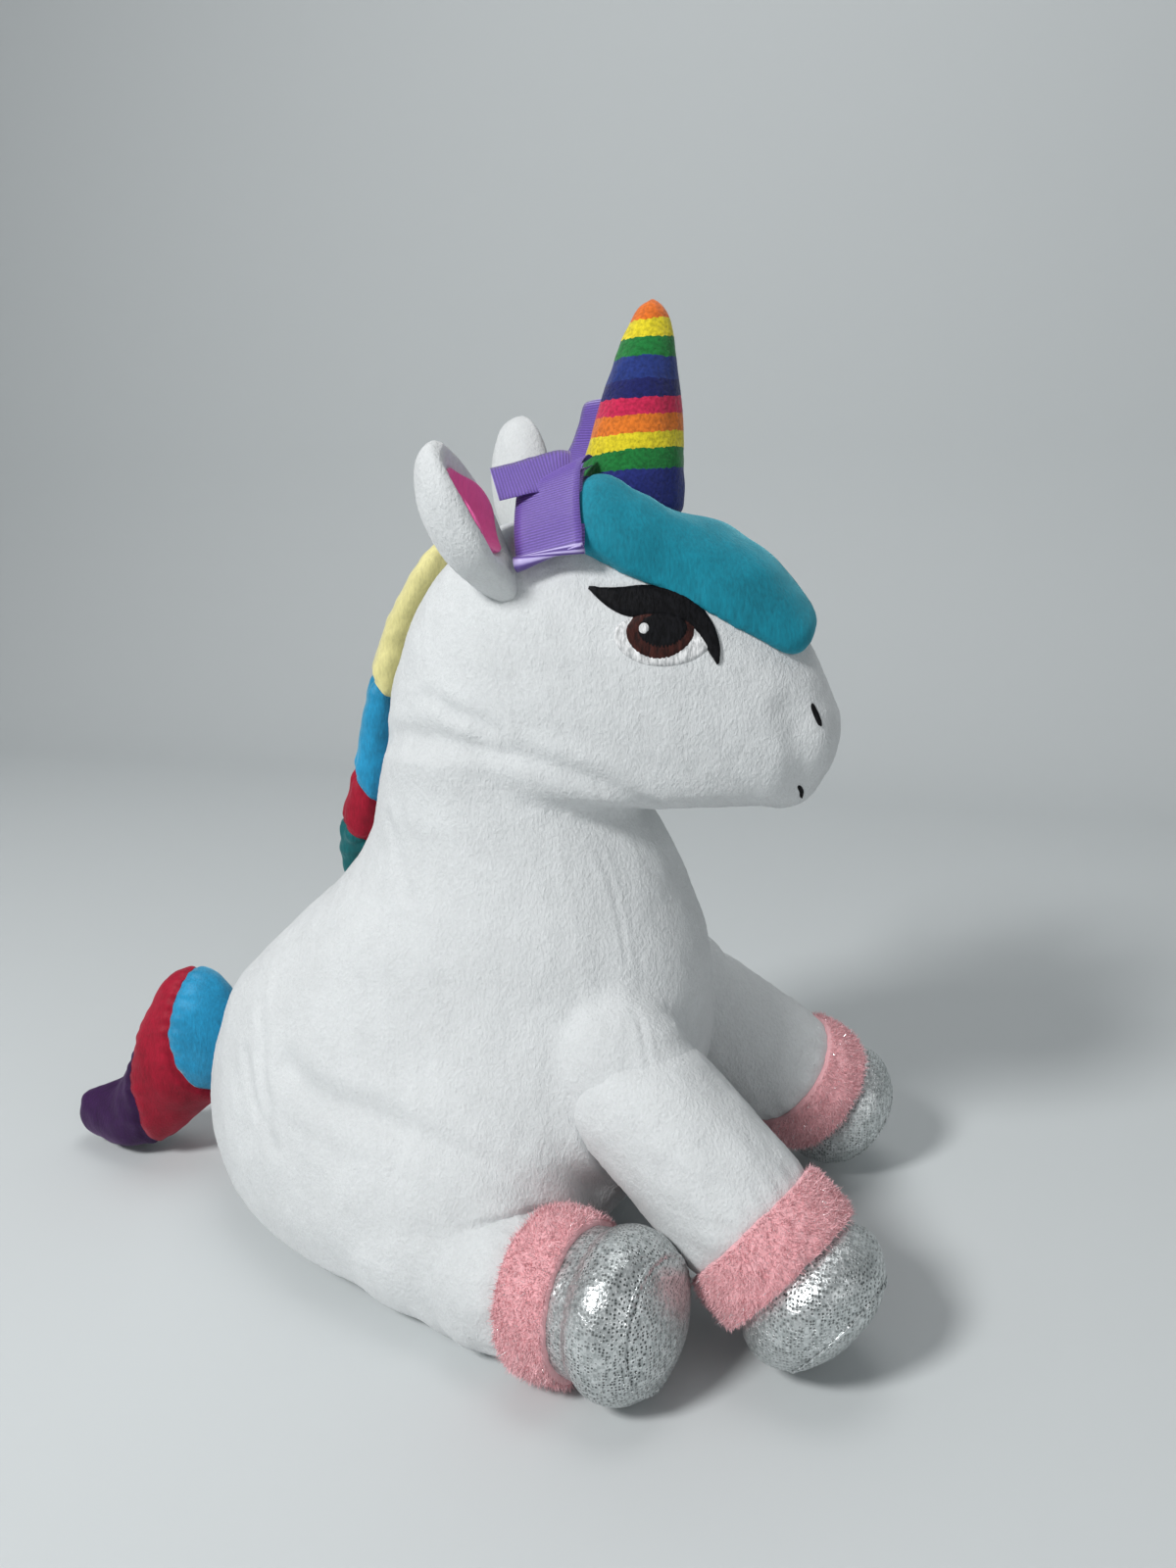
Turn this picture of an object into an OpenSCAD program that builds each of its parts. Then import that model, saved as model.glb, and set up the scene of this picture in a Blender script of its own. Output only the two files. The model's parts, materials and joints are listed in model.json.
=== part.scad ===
// Sitting plush unicorn: sewn skins over stuffing, soft joints at every limb.
// +X is where the nose points, +Y is the animal's left, +Z is up.
// The origin is the middle of the flat seat panel, on the floor.

/* [Body] */
// Distance from the rump to the front of the chest at its widest level
body_length = 202; // [196:1:208]
// Widest part of the body, across the haunches
body_width = 166; // [160:1:170]
// Height of the body skin's upper edge at the neck
body_height = 148; // [146:1:150]
// Thickness of the plush fabric, pile included
skin = 2; // [1.5:0.1:2.2]
// Gap between a skin and the stuffing behind it
stuffing_gap = 0.4; // [0.3:0.1:0.6]

/* [Head] */
// Length of the head from nape to nose
head_length = 160; // [154:1:164]
// Widest part of the head
head_width = 86; // [80:1:90]
// Height of the crown above the floor
crown_z = 260; // [258:1:262]
// Height of the neck joint above the floor
neck_z = 156; // [155:0.5:157]
// Radius of the ball of stuffing that the head nods on
neck_ball_r = 20; // [17:1:22]

/* [Legs] */
// Radius of a foreleg at the shoulder
foreleg_r = 23; // [21.5:0.5:23]
// Radius of a hind leg at its seam with the haunch
hind_leg_r = 21.5; // [20:0.5:21.5]
// Radius of a hoof
hoof_r = 25.4; // [24:0.1:25.5]
// Width of a fluffy cuff along the leg
cuff_w = 18; // [14:1:20]
// How far a cuff's pile stands out of the leg
cuff_pile = 2.6; // [2:0.2:2.8]

/* [Horn, ears and trim] */
// Height of the horn
horn_h = 59; // [50:1:62]
// Radius of the horn at its base
horn_r = 17; // [15:0.5:17]
// Length of an ear from its base to its tip
ear_length = 46; // [40:1:48]
// Width of an ear at its middle
ear_width = 31; // [28:1:34]
// Width of the grosgrain ribbon
ribbon_w = 22; // [20:1:24]
// Thickness of the ribbon
ribbon_t = 0.8; // [0.6:0.1:1]

/* [Hidden] */

$fn = 48;
left = 1;
right = -1;

// ---- colours ----
plush_white = [0.86, 0.88, 0.88];
filling = [0.95, 0.94, 0.90];
hot_pink = [0.85, 0.20, 0.45];
cuff_pink = [0.86, 0.50, 0.55];
silver = [0.62, 0.65, 0.66];
teal = [0.00, 0.45, 0.55];
ribbon_purple = [0.36, 0.26, 0.62];

// ---- stations of the body: height, rear, front and half width as shares of the size, and taper ----
body_stations = [
  [0.01, -0.307, 0.277, 0.58, -0.30],
  [0.05, -0.366, 0.337, 0.82, -0.30],
  [0.13, -0.406, 0.406, 0.92, -0.30],
  [0.23, -0.426, 0.465, 0.96, -0.30],
  [0.35, -0.421, 0.510, 0.93, -0.27],
  [0.47, -0.396, 0.535, 0.84, -0.18],
  [0.59, -0.356, 0.545, 0.75, -0.08],
  [0.70, -0.277, 0.545, 0.67, 0],
  [0.80, -0.203, 0.530, 0.61, 0],
  [0.89, -0.129, 0.505, 0.55, 0],
  [0.95, -0.099, 0.490, 0.53, 0],
  [1.00, -0.079, 0.473, 0.51, 0]
];
function body_column(z, column) = lookup(z / body_height, [for (s = body_stations) [s[0], s[column]]]);
function body_rear(z) = body_length * body_column(z, 1);
function body_front(z) = body_length * body_column(z, 2);
function body_half(z) = body_width / 2 * body_column(z, 3);

// ---- stations of the head: share of its height, rear, front and half width ----
chin_z = 158;
head_mid_x = 71;
head_stations = [
  [0.00, -0.36, 0.01, 0.42],
  [0.03, -0.45, 0.16, 0.70],
  [0.06, -0.475, 0.36, 0.82],
  [0.10, -0.49, 0.43, 0.89],
  [0.17, -0.49, 0.475, 0.94],
  [0.27, -0.485, 0.50, 0.98],
  [0.39, -0.475, 0.488, 1.00],
  [0.50, -0.455, 0.46, 1.00],
  [0.61, -0.43, 0.42, 0.97],
  [0.71, -0.395, 0.38, 0.93],
  [0.81, -0.35, 0.335, 0.86],
  [0.89, -0.29, 0.275, 0.76],
  [0.96, -0.21, 0.20, 0.58],
  [1.00, -0.12, 0.06, 0.32]
];
function head_column(z, column) =
  lookup((z - chin_z) / (crown_z - chin_z), [for (s = head_stations) [s[0], s[column]]]);
function head_rear(z) = head_mid_x + head_length * head_column(z, 1);
function head_front(z) = head_mid_x + head_length * head_column(z, 2);
function head_half(z) = head_width / 2 * head_column(z, 3);
head_taper = 0.16;

// ---- joints ----
neck_pivot = [38, 0, neck_z];
shoulder = [87, 38, 80];
fore_hoof_left = [150, 69, 26];
fore_hoof_right = [153, 59, 26];
haunch_seam = [48, 69, 22];
hind_hoof_left = [96, 97, 26];
hind_hoof_right = [100.5, 84, 26];
horn_base = [81, 0, 265];
horn_tip = [87, 0, 324];

// ================= surfaces =================

// One point of a level section: a flattened ring, narrower in front when taper is positive
function section_point(z, rear, front, half, taper, angle) =
  let (bulge = sign(sin(angle)) * pow(abs(sin(angle)), 0.88))
  [(rear + front) / 2 + (front - rear) / 2 * cos(angle), half * bulge * (1 - taper * cos(angle)), z];
function body_row(z, inset, from, to, steps) =
  [for (k = [0 : steps])
    section_point(z, body_rear(z) + inset, body_front(z) - inset, body_half(z) - inset,
                  body_column(z, 4), from + (to - from) * k / steps)];
function head_row(z, inset, from, to, steps) =
  [for (k = [0 : steps])
    section_point(z, head_rear(z) + inset, head_front(z) - inset, head_half(z) - inset,
                  head_taper, from + (to - from) * k / steps)];
function without_last(row) = [for (k = [0 : len(row) - 2]) row[k]];

// Half width of the head at one place on its side
function head_side(x, z) =
  let (middle = (head_rear(z) + head_front(z)) / 2, reach = (head_front(z) - head_rear(z)) / 2,
       c = max(-1, min(1, (x - middle) / reach)))
  head_half(z) * pow(sqrt(1 - c * c), 0.88) * (1 - head_taper * c);

// An oval ring round a centre, with its two half axes as vectors
function oval(centre, wide, thick, steps) =
  [for (k = [0 : steps - 1]) centre + wide * cos(360 * k / steps) + thick * sin(360 * k / steps)];

// ================= solids from rows of points =================

function wall(start, rows, count, closed, flip) =
  [for (i = [0 : rows - 2], j = [0 : count - (closed ? 1 : 2)])
    let (a = start + i * count + j, b = start + i * count + (j + 1) % count, c = a + count, d = b + count)
    each flip ? [[a, b, c], [b, d, c]] : [[a, c, b], [b, c, d]]];
function fan(start, count, centre, flip) =
  [for (j = [0 : count - 1])
    let (a = start + j, b = start + (j + 1) % count) flip ? [centre, a, b] : [centre, b, a]];
function rim(outer, inner, count, flip) =
  [for (j = [0 : count - 1])
    let (k = (j + 1) % count)
    each flip ? [[outer + j, outer + k, inner + j], [outer + k, inner + k, inner + j]]
              : [[outer + j, inner + j, outer + k], [outer + k, inner + j, inner + k]]];
function flat(rows) = [for (row = rows) each row];
function mean(row) = [for (axis = [0 : 2]) [for (p = row) p[axis]] * [for (p = row) 1] / len(row)];

// A closed body through rings
module loft(rings) {
  count = len(rings[0]);
  rows = len(rings);
  points = concat(flat(rings), [mean(rings[0]), mean(rings[rows - 1])]);
  polyhedron(points, concat(
    wall(0, rows, count, true, false),
    fan(0, count, rows * count, true) ,
    fan((rows - 1) * count, count, rows * count + 1, false)), convexity = 8);
}

// A sleeve between outer and inner rings, open at both ends or closed at its last ring
module sleeve(outer, inner, closed_end = false) {
  count = len(outer[0]);
  rows = len(outer);
  inner_rows = len(inner);
  inside = rows * count;
  points = concat(flat(outer), flat(inner), [mean(outer[rows - 1]), mean(inner[inner_rows - 1])]);
  last = (rows - 1) * count;
  inner_last = inside + (inner_rows - 1) * count;
  ends = closed_end
    ? concat(fan(last, count, len(points) - 2, false), fan(inner_last, count, len(points) - 1, true))
    : rim(last, inner_last, count, false);
  polyhedron(points, concat(
    wall(0, rows, count, true, false),
    wall(inside, inner_rows, count, true, true),
    rim(0, inside, count, true), ends), convexity = 8);
}

// A curved panel between an outer and an inner grid
module panel(outer, inner) {
  count = len(outer[0]);
  rows = len(outer);
  inside = rows * count;
  last = (rows - 1) * count;
  edge = count - 1;
  polyhedron(concat(flat(outer), flat(inner)), concat(
    wall(0, rows, count, false, false),
    wall(inside, rows, count, false, true),
    [for (j = [0 : count - 2]) each
      [[j, j + 1, inside + j], [j + 1, inside + j + 1, inside + j],
       [last + j, inside + last + j, last + j + 1],
       [last + j + 1, inside + last + j, inside + last + j + 1]]],
    [for (i = [0 : rows - 2])
      let (a = i * count, b = a + count, c = a + edge, d = b + edge)
      each [[a, inside + a, b], [b, inside + a, inside + b],
            [c, d, inside + c], [d, inside + d, inside + c]]]), convexity = 8);
}

// ================= body =================

body_levels = [for (s = body_stations) s[0] * body_height];
chest_seam = 40;   // angle of the chest gusset's seams from straight ahead

module body_panel(from, to, steps) {
  difference() {
    panel([for (z = body_levels) body_row(z, 0, from, to, steps)],
          [for (z = body_levels) body_row(z, skin, from, to, steps)]);
    leg_pockets();
  }
}

// The space that the legs' round ends take and pass through as they swing
pocket_gap = 0.7;
module leg_pockets() {
  for (side = [left, right]) {
    hoof = fore_hoof(side);
    for (lift = [0, 12, 24, 36])
      hull() {
        limb_end(shoulder, side, foreleg_r + pocket_gap);
        raised(shoulder, side, lift)
          limb_end(shoulder + 0.75 * (hoof - shoulder), side, foreleg_r + cuff_pile + pocket_gap);
      }
    hull() {
      limb_end(haunch_seam, side, hind_leg_r + pocket_gap);
      limb_end(haunch_seam + 0.8 * (hind_hoof(side) - haunch_seam), side, hoof_r + cuff_pile);
    }
  }
}
function fore_hoof(side) = side == left ? fore_hoof_left : fore_hoof_right;
function hind_hoof(side) = side == left ? hind_hoof_left : hind_hoof_right;
module limb_end(centre, side, radius)
  translate([centre[0], side * centre[1], centre[2]]) sphere(radius, $fn = 28);
module raised(centre, side, angle)
  translate([centre[0], side * centre[1], centre[2]]) rotate([0, -angle, 0])
    translate([-centre[0], -side * centre[1], -centre[2]]) children();

module body_left() { color(plush_white) body_panel(chest_seam, 180, 13); }
module body_right() { color(plush_white) body_panel(-180, -chest_seam, 13); }
module chest_gusset() { color(plush_white) body_panel(-chest_seam, chest_seam, 8); }

// The flat oval that the animal sits on
module seat_panel() {
  color(plush_white)
    linear_extrude(body_levels[0] - 0.1)
      polygon([for (p = without_last(body_row(body_levels[0], 0, 0, 360, 56))) [p[0], 0.8 * p[1]]]);
}

pouch_r = 30;
pouch_h = 22;
pouch_x = -22;
module pouch_shape(extra) {
  translate([pouch_x, 0, 2])
    rotate_extrude()
      polygon([for (a = [-90 : 10 : 90])
        [max(0, (pouch_r + extra) * cos(a)), pouch_h / 2 + (pouch_h / 2 + extra) * sin(a)]]);
}
module pellet_pouch() { color([0.75, 0.72, 0.66]) pouch_shape(0); }
// The recess under the stuffing that the pouch fills, open towards the seat
module pouch_recess() {
  pouch_shape(0.5);
  translate([pouch_x, 0, -1]) cylinder(h = 3 + pouch_h / 2, r = pouch_r + 0.5);
}

module body_stuffing() {
  inset = skin + stuffing_gap;
  inner_levels = [for (z = body_levels) if (z > 3) z];
  close_levels = [[2.4, 8], [body_height + 2.6, 12]];
  rings = concat(
    [without_last(body_row(close_levels[0][0], inset + close_levels[0][1], 0, 360, 28))],
    [for (z = inner_levels) without_last(body_row(z, inset, 0, 360, 28))],
    [without_last([for (p = body_row(body_height, inset + close_levels[1][1], 0, 360, 28))
      [p[0], p[1], close_levels[1][0]]])]);
  color(filling) difference() {
    loft(rings);
    leg_pockets();
    pouch_recess();
    translate(neck_pivot) sphere(neck_ball_r + 0.1, $fn = 40);
  }
}

module neck_stuffing() { color(filling) translate(neck_pivot) sphere(neck_ball_r); }

// ================= head =================

head_levels = [for (s = head_stations) chin_z + s[0] * (crown_z - chin_z)];
chin_top = 3;      // rows of the chin gusset
crown_bottom = 11; // first row of the crown gusset
face_seam = 98;    // angle of the seam from the ear's base to the jaw

module head_panel(first, last, from, to, steps) {
  panel([for (i = [first : last]) head_row(head_levels[i], 0, from, to, steps)],
        [for (i = [first : last]) head_row(head_levels[i], skin, from, to, steps)]);
}
module face_left() { color(plush_white) head_panel(chin_top, crown_bottom, 0, face_seam, 10); }
module face_right() { color(plush_white) head_panel(chin_top, crown_bottom, -face_seam, 0, 10); }
module nape_left() { color(plush_white) head_panel(chin_top, crown_bottom, face_seam, 180, 8); }
module nape_right() { color(plush_white) head_panel(chin_top, crown_bottom, 180, 360 - face_seam, 8); }

function head_ring(i, inset) = without_last(head_row(head_levels[i], inset, 0, 360, 28));
function raise(row, dz) = [for (p = row) [p[0], p[1], p[2] + dz]];

module crown_gusset() {
  last = len(head_levels) - 1;
  color(plush_white)
    sleeve([for (i = [crown_bottom : last]) head_ring(i, 0)],
           concat([for (i = [crown_bottom : last - 1])
                     raise(head_ring(i, skin), i == crown_bottom ? 0 : -skin)],
                  [raise(head_ring(last, skin), -skin - 0.4)]), true);
}
module chin_gusset() {
  color(plush_white)
    difference() {
      sleeve([for (i = [chin_top : -1 : 0]) reversed(head_ring(i, 0))],
             [for (i = [chin_top : -1 : 0])
                raise(reversed(head_ring(i, skin)), i == chin_top ? 0 : skin)], true);
      translate(neck_pivot) sphere(neck_ball_r + 0.6, $fn = 40);
    }
}
function reversed(row) = [for (k = [len(row) - 1 : -1 : 0]) row[k]];

module head_stuffing() {
  inset = skin + stuffing_gap;
  last = len(head_levels) - 1;
  color(filling) difference() {
    loft(concat(
      [raise(head_ring(0, inset + 2), inset)],
      [for (i = [2 : last - 1]) raise(head_ring(i, inset), i == 2 ? 2.4 : i > crown_bottom ? -inset : 0)],
      [raise(head_ring(last, inset + 2), -inset - 0.6)]));
    translate(neck_pivot) sphere(neck_ball_r + 0.6, $fn = 40);
  }
}

// ---- embroidery, raised slightly from the face ----

thread_t = 0.8;
thread_lift = 0.25;

// A patch of satin stitch between a lower and an upper outline given as [x, z] points
module stitch_patch(lower, upper, lift) {
  columns = len(lower) - 1;
  across = 4;
  grid = function (out)
    [for (v = [0 : across])
      [for (k = [0 : columns])
        let (p = lower[k] + (upper[k] - lower[k]) * v / across)
        [p[0], -head_side(p[0], p[1]) - out, p[1]]]];
  for (side = [0, 1]) mirror([0, side, 0])
    panel(grid(lift + thread_t), grid(lift));
}
eye_centre = [97.5, 223.5];
iris_r = 9.6;
columns = 10;
function arc_half(centre, rx, rz, sense) =
  [for (k = [0 : columns])
    centre + [-rx * cos(180 * k / columns), sense * max(0.25, rz * sin(180 * k / columns))]];

module eye_whites() {
  color("white")
    stitch_patch(arc_half(eye_centre + [1, 0], 14.5, 10.5, -1), arc_half(eye_centre + [1, 0], 14.5, 5, 1),
                 thread_lift);
}
module eye_irises() {
  color([0.20, 0.09, 0.05])
    stitch_patch(arc_half(eye_centre, iris_r, iris_r, -1), arc_half(eye_centre, iris_r, iris_r * 0.6, 1),
                 thread_lift + thread_t + 0.1);
}
lid_lower = [[76, 235], [80, 231.5], [85, 229], [91, 229.5], [97, 230], [103, 228.5], [107, 225.5],
             [110.5, 221], [113, 216.5], [114.4, 213.6]];
lid_upper = [[76.2, 236], [80.5, 235.8], [85.5, 235.6], [91.5, 235.8], [98, 235], [104, 233.2], [109, 229.6],
             [112.6, 224.6], [114.6, 218.6], [115, 214]];
module eye_lids() {
  color([0.02, 0.02, 0.02]) stitch_patch(lid_lower, lid_upper, thread_lift + 2 * thread_t + 0.2);
}
module nostril_stitches() {
  color([0.02, 0.02, 0.02])
    stitch_patch([[143.6, 201.2], [144.6, 198], [145.6, 194.8]], [[144.2, 201.8], [146, 198.4], [146, 194.9]],
                 thread_lift);
}
module mouth_stitch() {
  color([0.02, 0.02, 0.02])
    stitch_patch([[137.6, 174.4], [138.4, 171.6], [139.6, 169]], [[138.2, 174.6], [139.6, 172], [140, 169.2]],
                 thread_lift);
}

// ================= ears =================

ear_depth = 17;
// The right ear leans back and out, the left one stands more upright
ear_base = [[36.5, 36, 247], [49, -37.5, 238.5]];
ear_lean = [[-0.24, 0.20, 0.95], [-0.39, -0.34, 0.86]];
// Each ear opens forwards; the left one is turned outwards
ear_turn = [25, 0];
function unit(v) = v / norm(v);

// A dome's share of its full width, from its foot (0) to its tip (1), widest at ear_belly
ear_belly = 0.42;
function ear_share(s, foot, tip) =
  s < ear_belly ? foot + (1 - foot) * sin(90 * s / ear_belly)
                : max(tip, sqrt(1 - pow((s - ear_belly) / (1.01 - ear_belly), 2)));
// Rows from the ear's base to its tip; depth shares 0 to 1 run from the open front to the back
function ear_rows(which, depth_share, width_inset) =
  let (upward = unit(ear_lean[which]), side = unit(cross(upward, [1, 0, 0])), rear = cross(upward, side),
       across = side * cos(ear_turn[which]) + rear * sin(ear_turn[which]), back = cross(upward, across))
  [for (s = [0.21, 0.3, 0.42, 0.6, 0.76, 0.88, 0.96, 1])
    let (w = ear_width / 2 * ear_share(s, 0.62, 0.12) - width_inset, d = ear_depth * ear_share(s, 0.75, 0.15))
    [for (a = [0 : 18 : 180])
      ear_base[which] + upward * ear_length * s + across * w * cos(a)
        + back * (depth_share * d * sin(a) - 0.25 * d)]];
module ear_back(which) {
  panel(ear_rows(which, 1, 0), ear_rows(which, 0.5, 0));
}
module ear_lining(which) {
  panel(ear_rows(which, 0.48, 0.8), ear_rows(which, 0.36, 0.8));
}
module ear_left_back() { color(plush_white) ear_back(0); }
module ear_left_lining() { color(hot_pink) ear_lining(0); }
module ear_right_back() { color(plush_white) ear_back(1); }
module ear_right_lining() { color(hot_pink) ear_lining(1); }

// ================= horn =================

horn_tip_r = 6;
function horn_outline(inset) = concat(
  [[0, inset * 1.2], [horn_r - inset, inset * 1.2], [horn_r * 0.66 - inset, 0.58 * horn_h]],
  [for (a = [10 : 16 : 90])
     [(horn_tip_r - inset) * cos(a), horn_h - horn_tip_r + (horn_tip_r - inset) * sin(a)]]);
module at_horn() {
  lean = horn_tip - horn_base;
  translate(horn_base) rotate([0, acos(lean[2] / norm(lean)), 0]) children();
}
module horn_cover() {
  color("orange") at_horn() difference() {
    rotate_extrude() polygon(horn_outline(0));
    translate([0, 0, -0.01]) rotate_extrude() polygon(horn_outline(skin * 0.7));
    translate([0, 0, -0.5]) cylinder(h = 2.3, r = horn_r - 1.5);
  }
}
module horn_stuffing() {
  color(filling) at_horn() translate([0, 0, 0.2]) rotate_extrude() polygon(horn_outline(skin + 0.2));
}

// ================= forelock, bow =================

// The forelock lies on the head: along it, x and the angles of its right and left edges from upright
forelock_root_rows = [[70, 30, 20], [76, 32, 19.5], [87, 33, 19], [99.4, 34, 18]];
forelock_rows = [[102, 34.5, -13], [109, 35, -16], [119, 33, -17], [128, 31, -13], [134, 28, -6],
                 [138, 23, 4]];
forelock_t = 8.5;
sight_z = 190;
function in_head(p) =
  p[2] < crown_z && p[0] < head_front(p[2]) && p[0] > head_rear(p[2]) && abs(p[1]) < head_side(p[0], p[2]);
function head_ray(x, angle, r) = [x, -r * sin(angle), sight_z + r * cos(angle)];
// Distance from the head's inner line to its surface, found by halving
function surface_r(x, angle, low, high, turns) =
  let (half = (low + high) / 2)
  turns == 0 ? half
    : in_head(head_ray(x, angle, half)) ? surface_r(x, angle, half, high, turns - 1)
    : surface_r(x, angle, low, half, turns - 1);
function on_head(x, angle, lift) = head_ray(x, angle, surface_r(x, angle, 10, 90, 12) + lift);
function forelock_grid(rows, lift, bulge) =
  [for (row = rows)
    [for (v = [0 : 0.125 : 1])
      on_head(row[0], row[2] + (row[1] - row[2]) * v,
              lift + bulge * sqrt(max(0, sin(180 * v))) * (row[0] < 71 || row[0] > 136 ? 0.5 : 1))]];
module padded_flap(rows) { panel(forelock_grid(rows, 2.8, forelock_t - 2.4), forelock_grid(rows, 1.6, 0)); }
module forelock_root() { color(teal) padded_flap(forelock_root_rows); }
module forelock() { color(teal) padded_flap(forelock_rows); }

// A frame at a point: child X runs along one direction and child Z along another square to it
module facing(origin, x_way, z_way) {
  z = unit(z_way);
  y = unit(cross(z, x_way));
  x = cross(y, z);
  multmatrix([[x[0], y[0], z[0], origin[0]], [x[1], y[1], z[1], origin[1]], [x[2], y[2], z[2], origin[2]]])
    children();
}
// A flattened loop of ribbon from its knot outwards along X; the ribbon's width lies along Z
module ribbon_loop(length, fat) {
  linear_extrude(ribbon_w, center = true) difference() {
    loop_outline(length, fat);
    offset(delta = -ribbon_t) loop_outline(length, fat);
  }
}
module loop_outline(length, fat) {
  polygon([for (k = [0 : 31])
    let (a = 360 * k / 32, x = length / 2 * (1 - cos(a)))
    [x, fat / 2 * sin(a) * pow(max(0.05, x / length), 0.35)]]);
}
bow_knot = [63.5, -17, 269];
module bow_loop_right() {
  color(ribbon_purple) facing([63.6, -31, 270], [-0.1, -0.42, -0.9], [0.93, 0, 0.37]) ribbon_loop(28, 6);
}
module bow_loop_left() {
  color(ribbon_purple) facing([58, 1, 270], [0.1, 0.3, 0.95], [0.33, 0.9, -0.3]) ribbon_loop(23, 8);
}
module bow_tail() {
  color(ribbon_purple) facing([50, -25, 271.5], [0.9, 0, 0.3], [-0.3, -0.25, 0.9])
    cube([24, 14, ribbon_t], center = true);
}
module bow_thread() {
  color([0.05, 0.05, 0.05]) translate(bow_knot) rotate([90, 0, 0]) cylinder(h = 6, r = 1.2, center = true);
}

// ================= mane and tail =================

mane_half_w = 12;
mane_half_t = 5;
// A padded strip along the middle line, standing off the surface that rear() gives
module strip(from_z, to_z, on_head, root_share, end_share) {
  steps = 6;
  loft([for (k = [0 : steps])
    let (s = k / steps, z = from_z + (to_z - from_z) * s,
         slim = min(1, root_share + 3 * s, end_share + 3 * (1 - s)),
         x = (on_head ? head_rear(z) : body_rear(z)) - mane_half_t * slim - 0.6)
    oval([x, 0, z], [mane_half_t * slim, 0, 0], [0, mane_half_w * slim, 0], 18)]);
}
nod_room = 9;
blue_top = 199;
module mane_yellow() {
  color([0.86, 0.80, 0.45]) strip(blue_top + 0.05, 246, true, 1, 0.3);
}
module mane_blue() { color([0.05, 0.50, 0.75]) strip(neck_z + nod_room + 4, blue_top, true, 0.5, 1); }
crimson_bottom = 143;
crimson_top = 159;
module mane_crimson() {
  color([0.65, 0.02, 0.12])
    loft([for (z = [crimson_bottom + 0.05, (crimson_bottom + crimson_top) / 2, crimson_top])
      let (slim = z > crimson_top - 1 ? 0.7 : 1,
           x = body_rear(min(z, body_height)) - mane_half_t - 0.6)
      oval([x, 0, z], [mane_half_t * slim, 0, 0], [0, mane_half_w * slim, 0], 18)]);
}
module mane_teal() { color([0.0, 0.35, 0.35]) strip(126, crimson_bottom, false, 0.3, 1); }

// Stations of the tail: centre, half height vector and half width
tail_stations = [
  [[-89.5, 0, 66], [0, 0, 7], 7],
  [[-93, 0, 66], [-1, 0, 15], 13],
  [[-100, 0, 62], [-6, 0, 20], 18],
  [[-106, 0, 52], [-13, 0, 18], 19],
  [[-111, 0, 40], [-17, 0, 13], 18],
  [[-119, 0, 28], [-14, 0, 14], 16],
  [[-131, 0, 19], [-7, 0, 14], 13],
  [[-144, 0, 13.5], [-3, 0, 9.5], 9],
  [[-157, 0, 9.5], [-1, 0, 3], 4]
];
function tail_ring(i, inset) =
  let (s = tail_stations[i], up = s[1], w = s[2])
  oval(s[0], unit(up) * (norm(up) - inset), [0, w - inset, 0], 18);
module tail_piece(first, last, closed) {
  sleeve([for (i = [first : last]) tail_ring(i, 0)],
         [for (i = [first : last - (closed ? 1 : 0)]) tail_ring(i, 1.2)], closed);
}
module tail_blue() { color([0.05, 0.45, 0.70]) tail_piece(1, 4, false); }
module tail_crimson() { color([0.60, 0.02, 0.12]) tail_piece(4, 6, false); }
module tail_purple() { color([0.16, 0.02, 0.20]) tail_piece(6, 8, true); }
module tail_stuffing() {
  color(filling) loft([for (i = [0 : 7]) tail_ring(i, i == 0 ? 0 : i == 7 ? 3 : 1.6)]);
}

// ================= legs =================

module along(from, to, side) {
  run = to - from;
  translate([from[0], side * from[1], from[2]])
    rotate([0, acos(run[2] / norm(run)), atan2(side * run[1], run[0])])
      children();
}
round_from = -50;   // where the sewn end of a sleeve's round top stops, in degrees
dome = 17.5;        // how far a hoof's end stands past its widest place
sole_angle = 38;    // where the hoof's wall meets its round sole

function round_end(r, from) = [for (a = [from : 10 : 0]) [r * cos(a), r * sin(a)]];
function hoof_arc(r, centre, depth, from, to) =
  [for (k = [0 : 6]) let (a = from + (to - from) * k / 6) [r * cos(a), centre + depth * sin(a)]];

module leg_sleeve(r, seam) {
  rotate_extrude() polygon(concat(
    round_end(r, round_from), [[r, seam]],
    [[r - skin, seam], [r - skin, 0]],
    [for (a = [-10 : -10 : round_from]) [(r - skin) * cos(a), (r - skin) * sin(a)]]));
}
module leg_cuff(r, seam) {
  rotate_extrude() polygon([
    [r + 0.05, seam - cuff_w + 1], [r + cuff_pile - 1, seam - cuff_w],
    [r + cuff_pile, seam - cuff_w + 2], [r + cuff_pile, seam - 2],
    [r + cuff_pile - 1, seam], [r + 0.05, seam - 1]]);
}
module leg_hoof(r, seam, centre) {
  rotate_extrude() polygon(concat(
    [[r + 0.3, seam + 0.05]], hoof_arc(hoof_r, centre, dome, 0, sole_angle),
    [for (p = reversed(hoof_arc(hoof_r - skin, centre, dome - skin, 0, sole_angle))) p],
    [[r - skin, seam + 0.05]]));
}
module leg_sole(centre) {
  rotate_extrude() polygon(concat(
    hoof_arc(hoof_r, centre, dome, sole_angle + 0.4, 90),
    reversed(hoof_arc(hoof_r - skin, centre, dome - skin, sole_angle + 0.4, 90))));
}
module leg_stuffing(r, seam, centre) {
  in = skin + stuffing_gap;
  rotate_extrude() polygon(concat(
    [[0, -(r - in)]], [for (a = [-80 : 10 : 0]) [(r - in) * cos(a), (r - in) * sin(a)]],
    [[r - in, seam]], hoof_arc(hoof_r - in, centre, dome - in, 0, 90)));
}

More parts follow.
